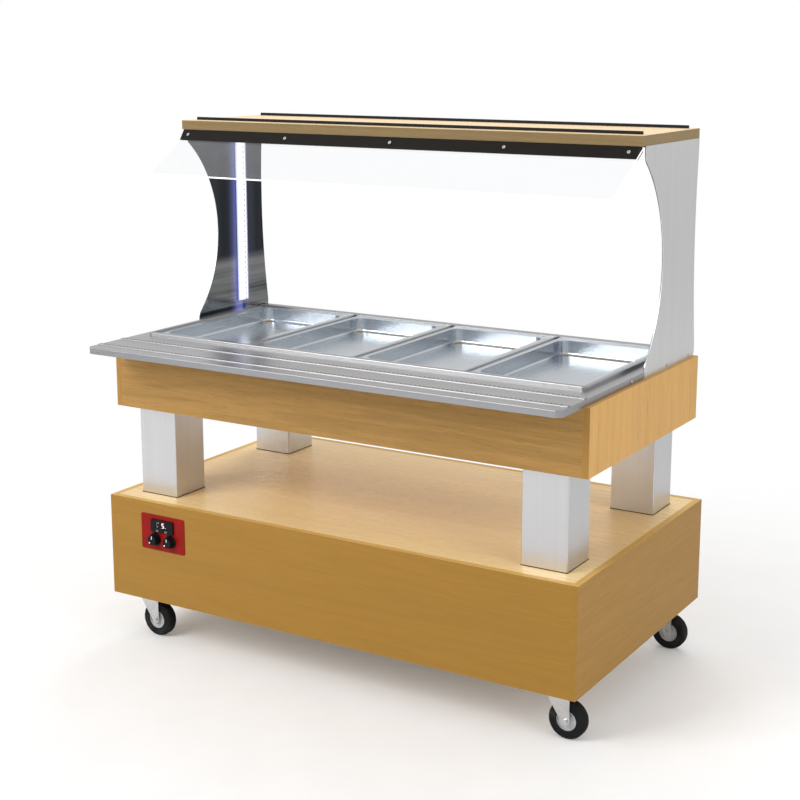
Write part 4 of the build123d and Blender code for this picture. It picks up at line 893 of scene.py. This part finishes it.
# ---------------------------------------------------------------- stage
class TROLLEY_OT_stage(bpy.types.Operator):
    """Pale floor, soft studio light and the camera"""
    bl_idname = "trolley.stage"
    bl_label = "Stage"

    def execute(self, context):
        scene = context.scene
        scene.view_settings.view_transform = "Standard"
        world = bpy.data.worlds.new("studio")
        scene.world = world
        world.use_nodes = True
        tree = world.node_tree
        background = tree.nodes["Background"]
        path = add_node(tree, "ShaderNodeLightPath")
        seen = arithmetic(tree, "MAXIMUM", path.outputs["Is Camera Ray"],
                          path.outputs["Is Transmission Ray"])
        seen = arithmetic(tree, "MAXIMUM", seen,
                          arithmetic(tree, "MULTIPLY", path.outputs["Is Glossy Ray"], 0.5), True)
        tree.links.new(map_range(tree, seen, 0, 1, 0.60, 1.0), background.inputs["Strength"])
        background.inputs["Color"].default_value = (1, 1, 1, 1)

        deselect_all()
        bpy.ops.mesh.primitive_plane_add(size=60, location=(0, 0, 0))
        floor = bpy.context.object
        floor.name = "studio_floor"
        floor.data.materials.append(self.floor_material())

        for name, place, size, power, shows in LAMPS:
            lamp_data = bpy.data.lights.new(name, "AREA")
            lamp_data.size = size
            lamp_data.energy = power
            lamp = bpy.data.objects.new(name, lamp_data)
            scene.collection.objects.link(lamp)
            lamp.location = place
            lamp.rotation_euler = (LAMP_TARGET - Vector(place)).to_track_quat("-Z", "Y").to_euler()
            lamp.visible_glossy = shows

        camera_data = bpy.data.cameras.new("camera")
        camera = bpy.data.objects.new("camera", camera_data)
        scene.collection.objects.link(camera)
        camera.location = CAMERA_PLACE
        camera.rotation_euler = (pi / 2 - CAMERA_PITCH, 0, CAMERA_TURN)
        camera_data.sensor_width = 36
        camera_data.lens = CAMERA_LENS
        camera_data.shift_x, camera_data.shift_y = CAMERA_SHIFT
        scene.camera = camera
        return {"FINISHED"}

    def floor_material(self):
        """A pale floor that keeps the object's shadow and fades to white away from it."""
        material, tree, shader = fresh_material("floor_pale", Roughness=0.9)
        at = object_coordinates(tree)
        grain = noise(tree, at, 6.0, 3)
        tree.links.new(ramp(tree, grain, (0.3, (0.84, 0.84, 0.84)), (0.7, (0.87, 0.87, 0.87))),
                       shader.inputs["Base Color"])
        distance = add_node(tree, "ShaderNodeVectorMath", {"operation": "LENGTH"}, Vector=at)
        fade = map_range(tree, distance.outputs["Value"], 1.0, 2.6, 0.0, 1.0)
        path = add_node(tree, "ShaderNodeLightPath")
        seen = arithmetic(tree, "MAXIMUM", path.outputs["Is Camera Ray"],
                          path.outputs["Is Transmission Ray"])
        white = add_node(tree, "ShaderNodeEmission", Color=(1, 1, 1, 1), Strength=1.0)
        glow = add_node(tree, "ShaderNodeEmission", Color=(1, 1, 1, 1), Strength=0.12)
        lifted = add_node(tree, "ShaderNodeAddShader", i0=shader.outputs[0], i1=glow.outputs[0])
        mixed = add_node(tree, "ShaderNodeMixShader", i0=fade, i1=lifted.outputs[0],
                         i2=white.outputs[0])
        final = add_node(tree, "ShaderNodeMixShader", i0=seen, i1=shader.outputs[0],
                         i2=mixed.outputs[0])
        output = tree.nodes["Material Output"]
        tree.links.new(final.outputs[0], output.inputs["Surface"])
        return material


# ---------------------------------------------------------------- sidebar
class TROLLEY_PT_panel(bpy.types.Panel):
    """Lists the trolley's settings and operators"""
    bl_label = "Trolley"
    bl_idname = "TROLLEY_PT_panel"
    bl_space_type = "VIEW_3D"
    bl_region_type = "UI"
    bl_category = "Trolley"

    def draw(self, context):
        for group in (context.scene.trolley_finishes, context.scene.trolley_details):
            for name in group.__annotations__:
                self.layout.prop(group, name)
        for operator in OPERATORS:
            self.layout.operator(operator.bl_idname)


OPERATORS = (
    TROLLEY_OT_stage,
    TROLLEY_OT_timber,
    TROLLEY_OT_steelwork,
    TROLLEY_OT_dimples,
    TROLLEY_OT_light_strips,
    TROLLEY_OT_guard,
    TROLLEY_OT_control_panel,
    TROLLEY_OT_castors,
    TROLLEY_OT_fittings,
)
CLASSES = (TrolleyFinishes, TrolleyDetails, *OPERATORS, TROLLEY_PT_panel)


def register():
    for cls in CLASSES:
        bpy.utils.register_class(cls)
    bpy.types.Scene.trolley_finishes = bpy.props.PointerProperty(type=TrolleyFinishes)
    bpy.types.Scene.trolley_details = bpy.props.PointerProperty(type=TrolleyDetails)


def unregister():
    del bpy.types.Scene.trolley_details
    del bpy.types.Scene.trolley_finishes
    for cls in reversed(CLASSES):
        bpy.utils.unregister_class(cls)


def main():
    register()
    for operator in OPERATORS:
        group, name = operator.bl_idname.split(".")
        getattr(getattr(bpy.ops, group), name)()


if __name__ == "__main__":
    main()
